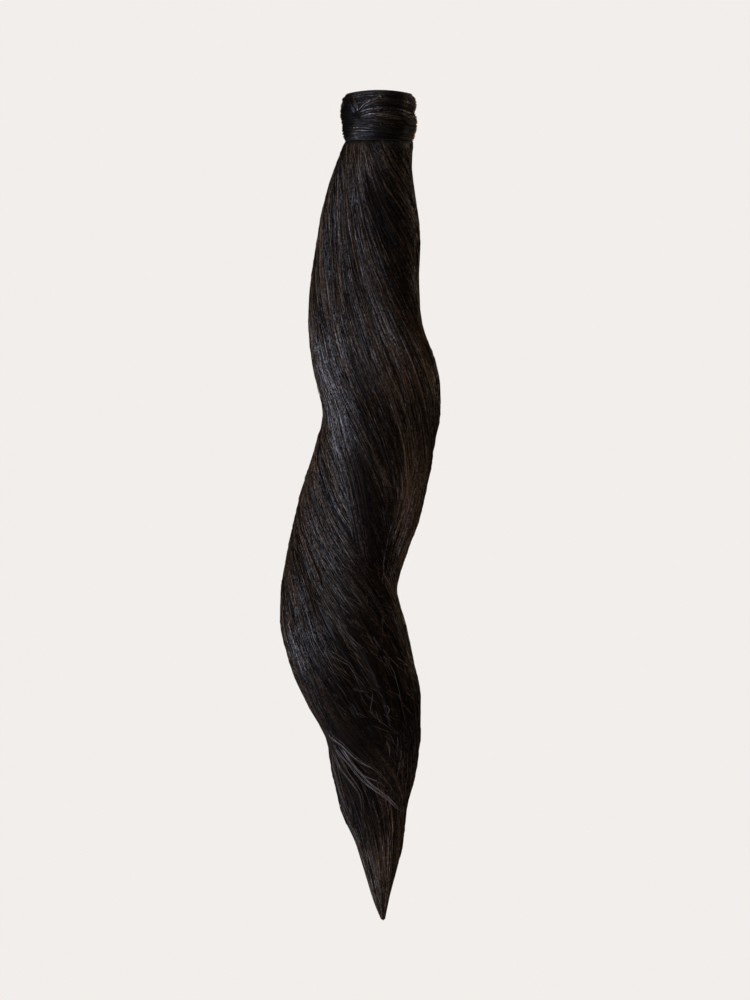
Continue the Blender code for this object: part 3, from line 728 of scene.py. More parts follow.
def strand_mesh(name, strands, shade):
    """Thin tubes of three sides along many centre lines at once. At each point the sides' corners stand at
    90, 210 and 330 degrees round the line, the first one outwards, and both ends are closed."""
    centre, outward, radius, tone, gloss = strands
    count, steps = centre.shape[:2]
    along = unit(np.gradient(centre, axis=1))
    beside = unit(np.cross(along, outward))
    outward = np.cross(beside, along)
    turn = np.radians([90.0, 210.0, 330.0])[None, None, :, None]
    ring = np.cos(turn) * beside[:, :, None] + np.sin(turn) * outward[:, :, None]
    points = centre[:, :, None] + radius[:, :, None, None] * ring
    index = np.arange(count * steps * 3).reshape(count, steps, 3)
    after = np.roll(index, -1, axis=2)
    quads = np.stack([index[:, :-1], index[:, 1:], after[:, 1:], after[:, :-1]], axis=-1).reshape(-1, 4)
    ends = np.concatenate([index[:, 0], index[:, -1, ::-1]])
    v = np.broadcast_to(np.linspace(0, 1, steps)[None, :, None], index.shape)
    u = np.broadcast_to(np.array([0.5, 0.0, 1.0])[None, None, :], index.shape)
    uv = np.stack([u, v], axis=-1).reshape(-1, 2)
    tones, glosses = (np.broadcast_to(value[:, None, None], index.shape).reshape(-1) for value in (tone, gloss))
    # The shade at each point: painted shade below 1 and painted sheen above 1, which the hair's finish reads.
    shades = np.broadcast_to(shade[:, :, None], index.shape).reshape(-1)
    return fill_mesh(name, points.reshape(-1, 3), quads, ends, uv, tone=tones, gloss=glosses, shade=shades)


def ring_of(radius, height, share):
    """Points of a level circle round the collar's axis at shares of the way round."""
    angle = 2 * math.pi * share
    return np.stack([radius * np.cos(angle), radius * np.sin(angle), height + 0 * angle], axis=-1)


def rings_mesh(name, rings, ends, flow):
    """A skin over rings of points. Both ends are closed to points, or, where there are none, the last ring
    is joined to the first."""
    rows, around = rings.shape[:2]
    index = np.arange(rows * around).reshape(rows, around)
    upper = index[:-1] if ends else index
    lower = index[1:] if ends else np.roll(index, -1, axis=0)
    quads = np.stack([upper, lower, np.roll(lower, -1, axis=1), np.roll(upper, -1, axis=1)], axis=-1)
    points, flow = rings.reshape(-1, 3), flow.reshape(-1, 3)
    triangles = np.zeros((0, 3), int)
    if ends:
        first, last = len(points), len(points) + 1
        points = np.concatenate([points, ends])
        flow = np.concatenate([flow, flow[:1], flow[-1:]])
        top = np.stack([index[0], np.roll(index[0], -1), np.full(around, first)], axis=-1)
        bottom = np.stack([np.roll(index[-1], -1), index[-1], np.full(around, last)], axis=-1)
        triangles = np.concatenate([top, bottom])
    return fill_mesh(name, points, quads.reshape(-1, 4), triangles, flow[:, :2], flow=flow)


def flow_places(share, drop, around, along):
    """A place in the hair's flow that closes on itself round the tail: the share of the way round as a
    circle, and the drop as the height above it."""
    angle = 2 * math.pi * share
    return np.stack([around * np.cos(angle), around * np.sin(angle), along * drop + 0 * angle], axis=-1)


def tail_body_mesh(sizes):
    """The hair's inner body: the tail's surface, sunk by the strands' cover, with the locks' relief along
    the strands, and the same roots and hollow at the top as the solid that it stands for."""
    around, down = 200, 150
    share = np.arange(around) / around
    drop = np.linspace(0.0, 1.0, down)
    share_grid, drop_grid = np.meshgrid(share, drop)
    angle = 2 * math.pi * share_grid
    line = HAIR_FLOW.share_at(angle, drop_grid)
    lift = lock_relief(line, drop_grid) * smooth(drop_grid / 0.02) - sizes.strand_cover
    sections, _ = tail_at(angle, drop_grid, lift)
    hollow_places = (
        (HOLLOW_END_RADIUS, -HOLLOW_DEPTH),
        (HOLLOW_RADIUS, LEDGE),
        (ROOT_INNER_RADIUS, LEDGE),
        (ROOT_INNER_RADIUS, ROOT_TOP),
        (ROOT_OUTER_RADIUS, ROOT_TOP),
        (ROOT_OUTER_RADIUS, TAIL_TOP),
    )
    hollow = np.stack([ring_of(radius, height, share) for radius, height in hollow_places])
    rows = np.concatenate([np.linspace(-0.1, 0, len(hollow), endpoint=False), drop])
    lines = np.concatenate([np.tile(share, (len(hollow), 1)), line])
    tip = sections[-1].mean(axis=0) - np.array([0.0, 0.0, TIP_BLUNTNESS])
    ends = [(0.0, 0.0, -HOLLOW_DEPTH), tuple(tip)]
    flow = flow_places(lines, rows[:, None], 60.0, 10.0)
    return rings_mesh("tail_body", np.concatenate([hollow, sections]), ends, flow)


def strand_radius(rng, count, steps, half_width, least, most, start, end):
    """Strands' half thickness along their length: the common one times a random share, full in the middle and
    thinner over the shares start and end of the length."""
    t = np.linspace(0, 1, steps)
    taper = 0.35 + 0.65 * smooth(t / start) * smooth((1 - t) / end)
    return half_width * rng.uniform(least, most, count)[:, None] * taper[None, :]


def fading(t, share):
    """1 at a strand's end, falling smoothly to 0 over a share of its length."""
    return 1 - smooth(t / share)


def rounded_back(place):
    """The height of a half circle over the places -1 to 1 across a lock."""
    return np.sqrt(np.clip(1 - place**2, 0, 1))


def distances(x, y):
    """How far each place of a path lies along it."""
    return np.concatenate([[0.0], np.cumsum(np.hypot(np.diff(x), np.diff(y)))])


def beside_path(travelled, x, y, gone, aside, step):
    """Points at distances gone along the smooth curve through a path's places, moved square to it by the
    distance aside. Its direction is that from a step before the point to a step after it."""
    before_x, along_x, after_x = (eased(gone + away, travelled, x) for away in (-step, 0, step))
    before_y, along_y, after_y = (eased(gone + away, travelled, y) for away in (-step, 0, step))
    ahead_x, ahead_y = after_x - before_x, after_y - before_y
    stride = np.maximum(np.hypot(ahead_x, ahead_y), 1e-9)
    return along_x - ahead_y / stride * aside, along_y + ahead_x / stride * aside


def flowing_strands(rng, count, steps, sizes, shortest, longest, wildness):
    """Strands that follow the hair's flow, in small locks. Each lock has a middle, a length, a slight
    drift across the flow, a width, a lift and a tone. Its strands are spread over it evenly, keep their
    places with a slight sway, and are raised by the lock's rounded back. Both ends dive below the cover.
    The deeper a strand lies, the darker and duller it is painted: painted shade for the shade under the strands
    above."""
    lock_count = count // sizes.strands_in_lock
    lock = np.arange(count) % lock_count
    level = np.linspace(0, 1, 400)
    girth = 2 * half_width_at(level) + reach("front", level) + reach("back", level)
    area = np.cumsum(girth + 0.01)
    middle_drop = np.interp(rng.uniform(0, 1, lock_count), area / area[-1], level)
    middle_angle = rng.uniform(0, 2 * math.pi, lock_count)
    middle_share = HAIR_FLOW.share_at(middle_angle, middle_drop)
    lock_length = rng.uniform(shortest, longest, lock_count) / TAIL_LENGTH
    lock_width = rng.uniform(*LOCK_HALF_WIDTHS, lock_count)
    lock_lift = rng.uniform(*LOCK_LIFTS, lock_count)
    lock_slant = rng.normal(0, 0.6 * wildness, lock_count)
    lock_tone = rng.normal(0, 0.10, lock_count)
    length = lock_length[lock] * rng.uniform(0.75, 1.15, count)
    start = middle_drop[lock] + rng.normal(0, 0.02, count) - length / 2
    t = np.linspace(0, 1, steps)[None, :]
    drop = np.clip(start[:, None] + length[:, None] * t, 0.0, 1.0)
    place = rng.uniform(-1, 1, count)[:, None]
    waves = rng.uniform(1.0, 3.0, count)[:, None]
    sway = rng.normal(0, SWAY, count)[:, None]
    sway = sway * np.sin(2 * math.pi * (waves * t + rng.uniform(0, 1, count)[:, None]))
    unruly = rng.uniform(0, 1, count) < UNRULY_SHARE
    slant = lock_slant[lock] + rng.normal(0, 1, count) * np.where(unruly, UNRULY_SLANT, 1.0) * wildness
    wander = (slant * length * TAIL_LENGTH)[:, None] * (t - 0.5)
    spread = 1 - 0.75 * smooth((drop - 0.80) / 0.16)
    aside = (lock_width[lock][:, None] * place + sway + wander) * spread
    angle = HAIR_FLOW.angle_at(middle_share[lock][:, None] + 0 * t, drop)
    angle = angle + aside / np.maximum(half_width_at(drop), 0.0015)
    share = HAIR_FLOW.share_at(angle, drop)
    depth = rng.uniform(0, 1, count)
    lift = lock_relief(share, drop) + lock_lift[lock][:, None] * rounded_back(place)
    below_root, above_tip = start[:, None] > 0.0, (start + length)[:, None] < 1.0
    dive = fading(t, DIVE_SHARE) * below_root + fading(1 - t, DIVE_SHARE) * above_tip
    lift = lift - sizes.strand_cover * (depth[:, None] + DIVE_DEPTH * dive) - 0.0009 * fading(drop, 0.010)
    centre, outward = tail_at(angle, drop, lift)
    # Painted shade: deeper strands get a darker tone and less gloss, standing in for the shade under the strands
    # above.
    tone = strand_tones(rng, share[:, steps // 2], drop[:, steps // 2]) + lock_tone[lock] - 0.22 * depth
    gloss = strand_glosses(rng, count) * (1 - 0.4 * depth)
    radius = strand_radius(rng, count, steps, sizes.strand_width / 2, 0.6, 1.25, 0.08, 0.14)
    return centre, outward, radius, tone, gloss


def strand_tones(rng, share, drop):
    """Each strand's tone, 0 for the darkest hair and 1 for the lightest: mostly dark, in streaks, with a few
    light brown hairs."""
    count = len(share)
    streak = 0.5 + 0.5 * TONE_FIELD.height(share, drop)
    tone = TONE_MOST * rng.uniform(0, 1, count) ** DULLING_POWER + STREAK_TONE * streak - TONE_CUT
    light = rng.uniform(0, 1, count) < LIGHT_SHARE
    return np.clip(np.where(light, rng.uniform(0.75, 1.0, count), tone), 0, 1)


def strand_glosses(rng, count):
    """Each strand's gloss, 0 for dull and 1 for glossy: mostly dull, with some glossy hairs."""
    return GLOSS_MOST * rng.uniform(0, 1, count) ** DULLING_POWER


def band_strands(rng, rows, count, steps, sizes):
    """Strands of one band across the front: each keeps its place between the band's two edges, with a
    slight drift, over a long random stretch, and is raised by the band's lift and its rounded back."""
    known = column(rows, BAND_COLUMNS, "drop")
    span = known[-1] - known[0]
    length = rng.uniform(0.40, 0.95, count) * span
    start = known[0] + rng.uniform(-0.05, 1.0, count) * (span - length * 0.9)
    start = np.clip(start, known[0], known[-1] - 0.25 * span)
    end = np.minimum(start + length, known[-1])
    t = np.linspace(0, 1, steps)[None, :]
    drop = start[:, None] + (end - start)[:, None] * t
    place = rng.uniform(0, 1, count)[:, None] + rng.normal(0, 0.12, count)[:, None] * (t - 0.5)
    place = np.clip(place, 0.0, 1.0)
    left, right, lift = read(rows, BAND_COLUMNS, drop)
    turn_left, turn_right = (-np.arccos(np.clip(edge, -1, 1)) for edge in (left, right))
    angle = turn_left + (turn_right - turn_left) * place
    depth = rng.uniform(0, 1, count)
    share = HAIR_FLOW.share_at(angle, drop)
    dive = DIVE_DEPTH * (fading(t, DIVE_SHARE) + fading(1 - t, DIVE_SHARE))
    raised = 0.001 * lift * rounded_back(2 * place - 1) - sizes.strand_cover * (0.8 * depth[:, None] + dive)
    centre, outward = tail_at(angle, drop, raised + FINE_RELIEF * FINE_LOCKS.height(share, drop))
    # Painted shade: deeper strands get a darker tone, standing in for the shade under the strands above.
    tone = strand_tones(rng, share[:, steps // 2], drop[:, steps // 2]) - 0.15 * depth
    gloss = strand_glosses(rng, count)
    radius = strand_radius(rng, count, steps, sizes.strand_width / 2, 0.6, 1.25, 0.08, 0.14)
    return centre, outward, radius, tone, gloss


def placed_hairs(rng, count, spread, thickness, tone, raised, places, steps, sizes):
    """A wisp of hairs over given places on the front: each hair runs beside the smooth line through them,
    at its own share of the spread, which narrows towards the end, and stands a little proud of the strands."""
    x, down = (0.001 * np.array(values) for values in zip(*places))
    travelled = distances(x, down)
    length = travelled[-1] * rng.uniform(0.75, 1.0, count)
    length[0] = travelled[-1]
    t = np.linspace(0, 1, steps)[None, :]
    gone = (rng.uniform(0, 1, count) * (travelled[-1] - length))[:, None] + length[:, None] * t
    gone_share = gone / travelled[-1]
    beside = 0.001 * spread * rng.uniform(-1, 1, count)[:, None] * (1 - 0.7 * gone_share)
    beside = beside + 0.00010 * np.sin(2 * math.pi * (gone / 0.012 + rng.uniform(0, 1, count)[:, None]))
    hair_x, hair_down = beside_path(travelled, x, down, gone, -beside, WISP_STEP)
    drop = np.clip((TAIL_TOP + hair_down) / TAIL_LENGTH, 0.0, 1.0)
    angle = -np.arccos(np.clip((hair_x - shift_at(drop)) / half_width_at(drop), -0.998, 0.998))
    height = 0.001 * raised * smooth(gone_share / 0.25) + 0.0003 + 0.0005 * rng.uniform(0, 1, count)[:, None]
    centre, outward = tail_at(angle, drop, height - 0.0008 * fading(t, 0.12) - 0.0004 * fading(1 - t, 0.12))
    radius = strand_radius(rng, count, steps, sizes.strand_width * thickness, 0.8, 1.2, 0.1, 0.4)
    return centre, outward, radius, tone * rng.uniform(0.5, 1.05, count), rng.uniform(0.3, 1.0, count)


def loose_strands(rng, count, steps, sizes):
    """Short loose ends over the lower front: each starts at a random place there, runs aslant by a random
    angle, bends slightly and stands a little proud of the strands."""
    drop_start = np.clip(rng.normal(0.66, 0.06, count), 0.54, 0.80)
    across = rng.uniform(-0.55, 0.85, count)
    length = rng.uniform(0.005, 0.016, count)
    slant = np.radians(rng.normal(38, 16, count))
    t = np.linspace(0, 1, steps)[None, :]
    heading = slant[:, None] + rng.normal(0, 0.20, count)[:, None] * t
    pace = length[:, None] / (steps - 1)
    drop = np.clip(drop_start[:, None] + np.cumsum(np.cos(heading) * pace, axis=1) / TAIL_LENGTH, 0, 1)
    angle = -np.arccos(across)[:, None] + np.cumsum(np.sin(heading) * pace, axis=1) / half_width_at(drop)
    lift = 0.0001 + 0.0005 * rng.uniform(0, 1, count)[:, None] * t - 0.0008 * fading(t, 0.15)
    centre, outward = tail_at(angle, drop, lift)
    radius = strand_radius(rng, count, steps, sizes.strand_width * 0.22, 0.8, 1.2, 0.1, 0.5)
    return centre, outward, radius, rng.uniform(0.2, 0.55, count), rng.uniform(0, 1, count)


def collar_top(angle):
    """The height of the collar's top edge, which dips at the sides."""
    return -COLLAR_SIDE_DIP * np.cos(angle) ** 2


def collar_radius(angle, height):
    """The collar's outer radius: the thickest of the passes of the wound lock there, each with a rounded back,
    and the plain inner turn, thinned at the top and bottom edges and drawn in by the pinch."""
    last_turn = WINDING[-1][0]
    turn = (angle / (2 * math.pi)) % 1.0
    thickest = np.full(np.shape(height + turn), INNER_TURN_THICKNESS)
    for n in range(math.ceil(last_turn)):
        middle, spread, thickness = read(WINDING, WINDING_COLUMNS, turn + n)
        back = np.clip(1 - ((height - middle) / spread) ** 2, 0.0, 1.0) ** 0.4
        thickest = np.where(turn + n <= last_turn, np.maximum(thickest, thickness * back), thickest)
    top = TOP_EDGE_THICKNESS + (1 - TOP_EDGE_THICKNESS) * rounded(height / TOP_EDGE_SHARE)
    bottom = BOTTOM_EDGE_THICKNESS + (1 - BOTTOM_EDGE_THICKNESS) * rounded((1 - height) / BOTTOM_EDGE_SHARE)
    away = nearest_way(angle - PINCH_ANGLE)
    pinch = np.exp(-((away / PINCH_HALF_ANGLE) ** 2) - ((height - PINCH_HEIGHT) / PINCH_HALF_HEIGHT) ** 2)
    return WRAP_INNER_RADIUS + WRAP_WALL * thickest * top * bottom - PINCH_DEPTH * pinch


def collar_at(angle, height, lift):
    """Points on the collar with their outward directions, pushed out by the lift."""
    radius = collar_radius(angle, height) + lift
    z = collar_top(angle) * (1 - height) - COLLAR_HEIGHT * height
    above, below = height - SLOPE_STEP, height + SLOPE_STEP
    slope = (collar_radius(angle, below) - collar_radius(angle, above)) / (2 * SLOPE_STEP * COLLAR_HEIGHT)
    outward = np.stack([np.cos(angle), np.sin(angle), np.clip(slope, -3, 3)], axis=-1)
    return np.stack([radius * np.cos(angle), radius * np.sin(angle), z], axis=-1), unit(outward)


def collar_body_mesh(sizes):
    """The collar's inner body: a ring with a straight inner wall and, outside, the wound passes sunk by the
    strands' cover."""
    around, rows = 144, 48
    share = np.arange(around) / around
    height = (1 - np.cos(np.linspace(0, math.pi, rows))) / 2
    share_grid, height_grid = np.meshgrid(share, height)
    angle = 2 * math.pi * share_grid
    edge = smooth(height_grid / 0.08) * smooth((1 - height_grid) / 0.08)
    outer, _ = collar_at(angle, height_grid, -sizes.collar_cover * edge)
    inner = np.stack([ring_of(WRAP_INNER_RADIUS, -COLLAR_HEIGHT, share), ring_of(WRAP_INNER_RADIUS, 0.0, share)])
    inner[1, :, 2] = collar_top(2 * math.pi * share)
    rings = np.concatenate([outer, inner])
    heights = np.concatenate([height, [1.0, 0.0]])
    flow = flow_places(share[None, :] + 0 * heights[:, None], 0 * heights[:, None], 3.0, 0.0)
    flow[..., 2] = 60.0 * heights[:, None]
    return rings_mesh("collar_body", rings, None, flow)


def wound_strands(rng, count, glossiness, lightening, rows, steps, sizes):
    """Strands of one lock wound round the collar. The lock's middle is a curve in angle and height. The lock
    is parted into narrow ridges side by side, each with its own height, tone, gloss and slight drift, and
    rounded across. A strand lies near the middle of its ridge, at its own share of the lock's half width,
    square to the curve. It is raised by the lock's lift and rounded back, and its ends dive below the cover."""
    angle, down, half_width, lift = (column(rows, WOUND_COLUMNS, name) for name in WOUND_COLUMNS)
    size = WRAP_INNER_RADIUS + WRAP_WALL
    place_x, place_z = np.radians(angle) * size, -down * COLLAR_HEIGHT
    travelled = distances(place_x, place_z)
    length = rng.uniform(0.25, 0.55, count) * travelled[-1]
    start = np.clip(rng.uniform(-0.25, 1.25, count), 0, 1) * (travelled[-1] - length)
    t = np.linspace(0, 1, steps)[None, :]
    gone = start[:, None] + length[:, None] * t
    ridges = max(2, round(0.002 * half_width.max() / sizes.collar_ridge_width))
    ridge = rng.integers(0, ridges, count)
    ridge_place = (np.arange(ridges) + 0.5) / ridges * 2 - 1 + rng.normal(0, 0.25 / ridges, ridges)
    ridge_drift = rng.normal(0, 0.9 / ridges, ridges)
    ridge_height = rng.uniform(-0.00010, 0.00012, ridges)
    ridge_tone = rng.normal(0, 0.22, ridges)
    ridge_gloss = rng.uniform(0.4, 1.6, ridges)
    off = rng.normal(0, 0.42, count)
    place = (ridge_place[ridge] + off / ridges)[:, None]
    place = place + ridge_drift[ridge][:, None] * (gone / travelled[-1] - 0.5)
    place = np.clip(place + rng.normal(0, 0.35 / ridges, count)[:, None] * (t - 0.5), -1.1, 1.1)
    aside = 0.001 * eased(gone, travelled, half_width) * place
    x, z = beside_path(travelled, place_x, place_z, gone, aside, WOUND_STEP)
    height = np.clip(-z / COLLAR_HEIGHT, 0.022, 0.985)
    depth = rng.uniform(0, 1, count)
    rounding = 0.00022 * (1 - np.minimum(off**2, 1.6))
    relief = (0.25 + 0.75 * np.abs(np.sin(x / size))) * (ridge_height[ridge] + rounding)[:, None]
    dive = COLLAR_DIVE_DEPTH * (fading(t, COLLAR_DIVE_SHARE) + fading(1 - t, COLLAR_DIVE_SHARE))
    raised = 0.001 * eased(gone, travelled, lift) * rounded_back(place) + relief
    raised = raised - sizes.collar_cover * (depth[:, None] + dive) - 0.0007 * fading(height, 0.10)
    centre, outward = collar_at(x / size, height, raised)
    tone = strand_tones(rng, place[:, 0] * 0.5 + len(rows), start / travelled[-1]) + lightening + ridge_tone[ridge]
    # Painted shade: deeper strands, and strands towards a ridge's sides in the gaps between ridges, get a darker
    # tone and less gloss.
    tone = tone - 0.20 * depth - 0.25 * np.abs(off)
    gloss = glossiness * strand_glosses(rng, count) * ridge_gloss[ridge] * (1 - 0.8 * depth)
    radius = strand_radius(rng, count, steps, sizes.collar_strand_width / 2, 0.6, 1.3, 0.08, 0.10)
    return centre, outward, radius, tone, gloss


def joined(parts):
    """Several sets of strands of equal steps as one set."""
    return tuple(np.concatenate(arrays) for arrays in zip(*parts))


def new_material(name, roughness, specular):
    """A Principled material whose plain numbers stand on the shader itself."""
    made = bpy.data.materials.new(name)
    made.use_nodes = True
    shader = made.node_tree.nodes["Principled BSDF"]
    shader.inputs["Roughness"].default_value = roughness
    shader.inputs["Specular IOR Level"].default_value = specular
    return made, shader


def add_node(tree, kind, inputs=(), **settings):
    """A shader node with its settings. Each of its inputs, by name or number, takes another node's output or
    a plain value."""
    node = tree.nodes.new("ShaderNode" + kind)
    for name, value in settings.items():
        setattr(node, name, value)
    for name, value in dict(inputs).items():
        if isinstance(value, bpy.types.NodeSocket):
            tree.links.new(value, node.inputs[name])
        else:
            node.inputs[name].default_value = value
    return node


def given_value(tree, name, output="Fac"):
    """A named value of the mesh."""
    return add_node(tree, "Attribute", attribute_name=name).outputs[output]


def object_place(tree):
    """The place on the piece, in Object coordinates."""
    return add_node(tree, "TexCoord").outputs["Object"]


def sum_of(tree, operation, *values):
    """The result of one sum or product."""
    return add_node(tree, "Math", enumerate(values), operation=operation).outputs[0]


def noise(tree, place, scale, detail):
    """Smooth noise at a place."""
    return add_node(tree, "TexNoise", {"Vector": place, "Scale": scale, "Detail": detail}).outputs["Fac"]


def ramp(tree, value, low, high):
    """0 below the low value, 1 above the high one and even between."""
    return add_node(tree, "MapRange", {"Value": value, "From Min": low, "From Max": high}).outputs["Result"]


def blend(tree, share, first, second):
    """A colour between two, by the share of the second."""
    return add_node(tree, "Mix", {"Factor": share, "A": first, "B": second}, data_type="RGBA").outputs["Result"]


def times(colour, share):
    """A colour made lighter or darker."""
    return tuple(share * part for part in colour)


def opaque(colour):
    """A colour with full alpha."""
    return (*colour, 1.0)


def colour_and_bump(tree, shader, colour, height, distance):
    """Gives a shader its colour and a bump of a depth in metres."""
    bump = add_node(tree, "Bump", {"Height": height, "Distance": distance})
    tree.links.new(colour, shader.inputs["Base Color"])
    tree.links.new(bump.outputs["Normal"], shader.inputs["Normal"])


def hair_tone_group():
    """The hair's colour, roughness and gloss. The tone, with fine flecks from noise along the strand and over the
    piece, slow noise and the place's painted shade and sheen, is blended from the dark colour through brown to the
    light one. The roughness varies by strand, and the gloss is the strand's, times its flecks and the painted
    shade and sheen."""
    name = "hair_tone"
    if name in bpy.data.node_groups:
        return bpy.data.node_groups[name]
    tree = bpy.data.node_groups.new(name, "ShaderNodeTree")
    sockets = {"INPUT": ("Dark", "Brown", "Light", "Roughness"), "OUTPUT": ("Color", "Roughness", "Gloss")}
    for way, labels in sockets.items():
        for label in labels:
            kind = "NodeSocketFloat" if label in ("Roughness", "Gloss") else "NodeSocketColor"
            tree.interface.new_socket(label, in_out=way, socket_type=kind)
    given, made = tree.nodes.new("NodeGroupInput").outputs, tree.nodes.new("NodeGroupOutput").inputs
    tone, gloss, shade = (given_value(tree, label) for label in ("tone", "gloss", "shade"))
    place = object_place(tree)
    along = add_node(tree, "SeparateXYZ", {"Vector": add_node(tree, "UVMap", uv_map="strand").outputs["UV"]})
    stretched, chosen = sum_of(tree, "MULTIPLY", along.outputs["Y"], 6.0), sum_of(tree, "MULTIPLY", tone, 977.0)
    own_place = add_node(tree, "CombineXYZ", {"X": stretched, "Y": chosen}).outputs["Vector"]
    streak = noise(tree, own_place, 1.0, 2.0)
    fleck = ramp(tree, sum_of(tree, "ADD", noise(tree, place, 750.0, 1.0), streak), 0.78, 1.22)
    flecked = sum_of(tree, "MULTIPLY_ADD", fleck, 0.34, tone)
    shifted = sum_of(tree, "MULTIPLY_ADD", noise(tree, place, 45.0, 2.0), 0.20, flecked)
    # Painted shade and sheen: the place's shade shifts the tone darker below 1 and lighter above 1.
    shaded = sum_of(tree, "MULTIPLY_ADD", shade, PAINTED_SHADE_WEIGHT, shifted)
    to_brown = ramp(tree, shaded, PAINTED_SHADE_WEIGHT + 0.34, PAINTED_SHADE_WEIGHT + 1.00)
    to_light = ramp(tree, shaded, PAINTED_SHADE_WEIGHT + 1.00, PAINTED_SHADE_WEIGHT + 1.40)
    colour = blend(tree, to_light, blend(tree, to_brown, given["Dark"], given["Brown"]), given["Light"])
    chance = add_node(tree, "TexWhiteNoise", {"W": tone}, noise_dimensions="1D").outputs["Value"]
    rough = sum_of(tree, "MULTIPLY_ADD", chance, 0.25, given["Roughness"])
    glossy = sum_of(tree, "MULTIPLY", sum_of(tree, "MULTIPLY", gloss, fleck), shade)
    for label, value in (("Color", colour), ("Roughness", rough), ("Gloss", glossy)):
        tree.links.new(value, made[label])
    return tree


def hair_material(name, colours, roughness, specular, gloss_roughness, gloss_index):
    """Hair whose colour, roughness and gloss the shared group gives. The gloss is a thin clear coat."""
    if name in bpy.data.materials:
        return bpy.data.materials[name]
    made, shader = new_material(name, roughness, specular)
    tree = made.node_tree
    inputs = {label: opaque(colour) for label, colour in zip(("Dark", "Brown", "Light"), colours)}
    tone = add_node(tree, "Group", {**inputs, "Roughness": roughness}, node_tree=hair_tone_group())
    for output, label in (("Color", "Base Color"), ("Roughness", "Roughness"), ("Gloss", "Coat Weight")):
        tree.links.new(tone.outputs[output], shader.inputs[label])
    shader.inputs["Coat Roughness"].default_value = gloss_roughness
    shader.inputs["Coat IOR"].default_value = gloss_index
    return made


def under_hair_material(name, colours):
    """The hair below the strands: fine streaks along the hair's flow, from noise that is stretched along it, make
    the colour and the bump. Its colours are the hair's own darkened, painted shade for the hair deep under the
    strands."""
    if name in bpy.data.materials:
        return bpy.data.materials[name]
    made, shader = new_material(name, 0.6, 0.2)
    tree = made.node_tree
    streaks = noise(tree, given_value(tree, "flow", "Vector"), 1.0, 3.0)
    # Painted shade: the dark and brown colours are darkened to 0.4 and 0.35 of the hair's own.
    dark, light = opaque(times(colours[0], 0.4)), opaque(times(colours[1], 0.35))
    colour = blend(tree, ramp(tree, streaks, 0.35, 0.75), dark, light)
    colour_and_bump(tree, shader, colour, streaks, 0.0003)
    return made


def strap_material(dark, light):
    """A plain woven strap: a wave makes the weave's colour and noise makes its bump."""
    made, shader = new_material("strap_weave", 0.85, 0.3)
    tree = made.node_tree
    place = object_place(tree)
    weave = {"Vector": place, "Scale": 240.0, "Distortion": 1.5}
    wave = add_node(tree, "TexWave", weave, bands_direction="Z").outputs["Fac"]
    colour = blend(tree, wave, opaque(dark), opaque(light))
    colour_and_bump(tree, shader, colour, noise(tree, place, 900.0, 2.0), 0.0002)
    return made


class PonytailSizes(bpy.types.PropertyGroup):
    """The sizes that a user would change."""

    strand_width: bpy.props.FloatProperty(
        name="Strand width", description="Width of a strand of the tail", default=0.00056, unit="LENGTH",
        precision=5,
    )
    strands_in_lock: bpy.props.IntProperty(
        name="Strands in a lock", description="How many strands make a lock of the tail", default=7, min=1
    )
    collar_strand_width: bpy.props.FloatProperty(
        name="Collar strand width", description="Width of a strand of the collar", default=0.00046, unit="LENGTH",
        precision=5,
    )
    collar_ridge_width: bpy.props.FloatProperty(
        name="Collar ridge width", description="Width of a ridge of hair on the collar", default=0.0011,
        unit="LENGTH", precision=5,
    )
    strand_cover: bpy.props.FloatProperty(
        name="Strand cover", description="Depth of the layer of strands on the tail", default=0.0007,
        unit="LENGTH", precision=5,
    )
    collar_cover: bpy.props.FloatProperty(
        name="Collar cover", description="Depth of the layer of strands on the collar", default=0.0005,
        unit="LENGTH", precision=5,
    )


class PonytailColours(bpy.types.PropertyGroup):
    """The colours that a user would change."""

    dark: bpy.props.FloatVectorProperty(
        name="Dark hair", description="Colour of the darkest hair", default=(0.0022, 0.0011, 0.0006),
        subtype="COLOR", size=3, min=0.0, max=1.0,
    )
    brown: bpy.props.FloatVectorProperty(
        name="Brown hair", description="Colour of the brown hair", default=(0.0210, 0.0113, 0.0046),
        subtype="COLOR", size=3, min=0.0, max=1.0,
    )
    light: bpy.props.FloatVectorProperty(
        name="Light hair", description="Colour of the few light hairs", default=(0.074, 0.045, 0.024),
        subtype="COLOR", size=3, min=0.0, max=1.0,
    )
    # The pale colour is partly lighter loose hair and partly painted highlight, standing in for the sheen that
    # loose hairs catch.
    pale: bpy.props.FloatVectorProperty(
        name="Pale hair", description="Colour of the palest loose hairs", default=(0.21, 0.185, 0.18),
        subtype="COLOR", size=3, min=0.0, max=1.0,
    )
    strap: bpy.props.FloatVectorProperty(
        name="Strap", description="Colour of the hidden strap", default=(0.020, 0.018, 0.018),
        subtype="COLOR", size=3, min=0.0, max=1.0,
    )
    background: bpy.props.FloatVectorProperty(
        name="Background", description="Colour of the studio behind the hairpiece", default=(0.888, 0.855, 0.831),
        subtype="COLOR", size=3, min=0.0, max=1.0,
    )


def tail_colours(colours):
    """The three colours that the tail's hair is blended from."""
    return tuple(colours.dark), tuple(colours.brown), tuple(colours.light)


class PONYTAIL_OT_tail_body(bpy.types.Operator):
    """Builds the hair's inner body, with its roots and hollow"""

    bl_idname = "ponytail.tail_body"
    bl_label = "Tail Body"

    def execute(self, context):
        finish = under_hair_material("hair_below_shaded", tail_colours(context.scene.ponytail_colours))
        mesh = tail_body_mesh(context.scene.ponytail_sizes)
        add_piece("tail_body", mesh, finish, "tail_hair", "tail_hair")
        return {"FINISHED"}


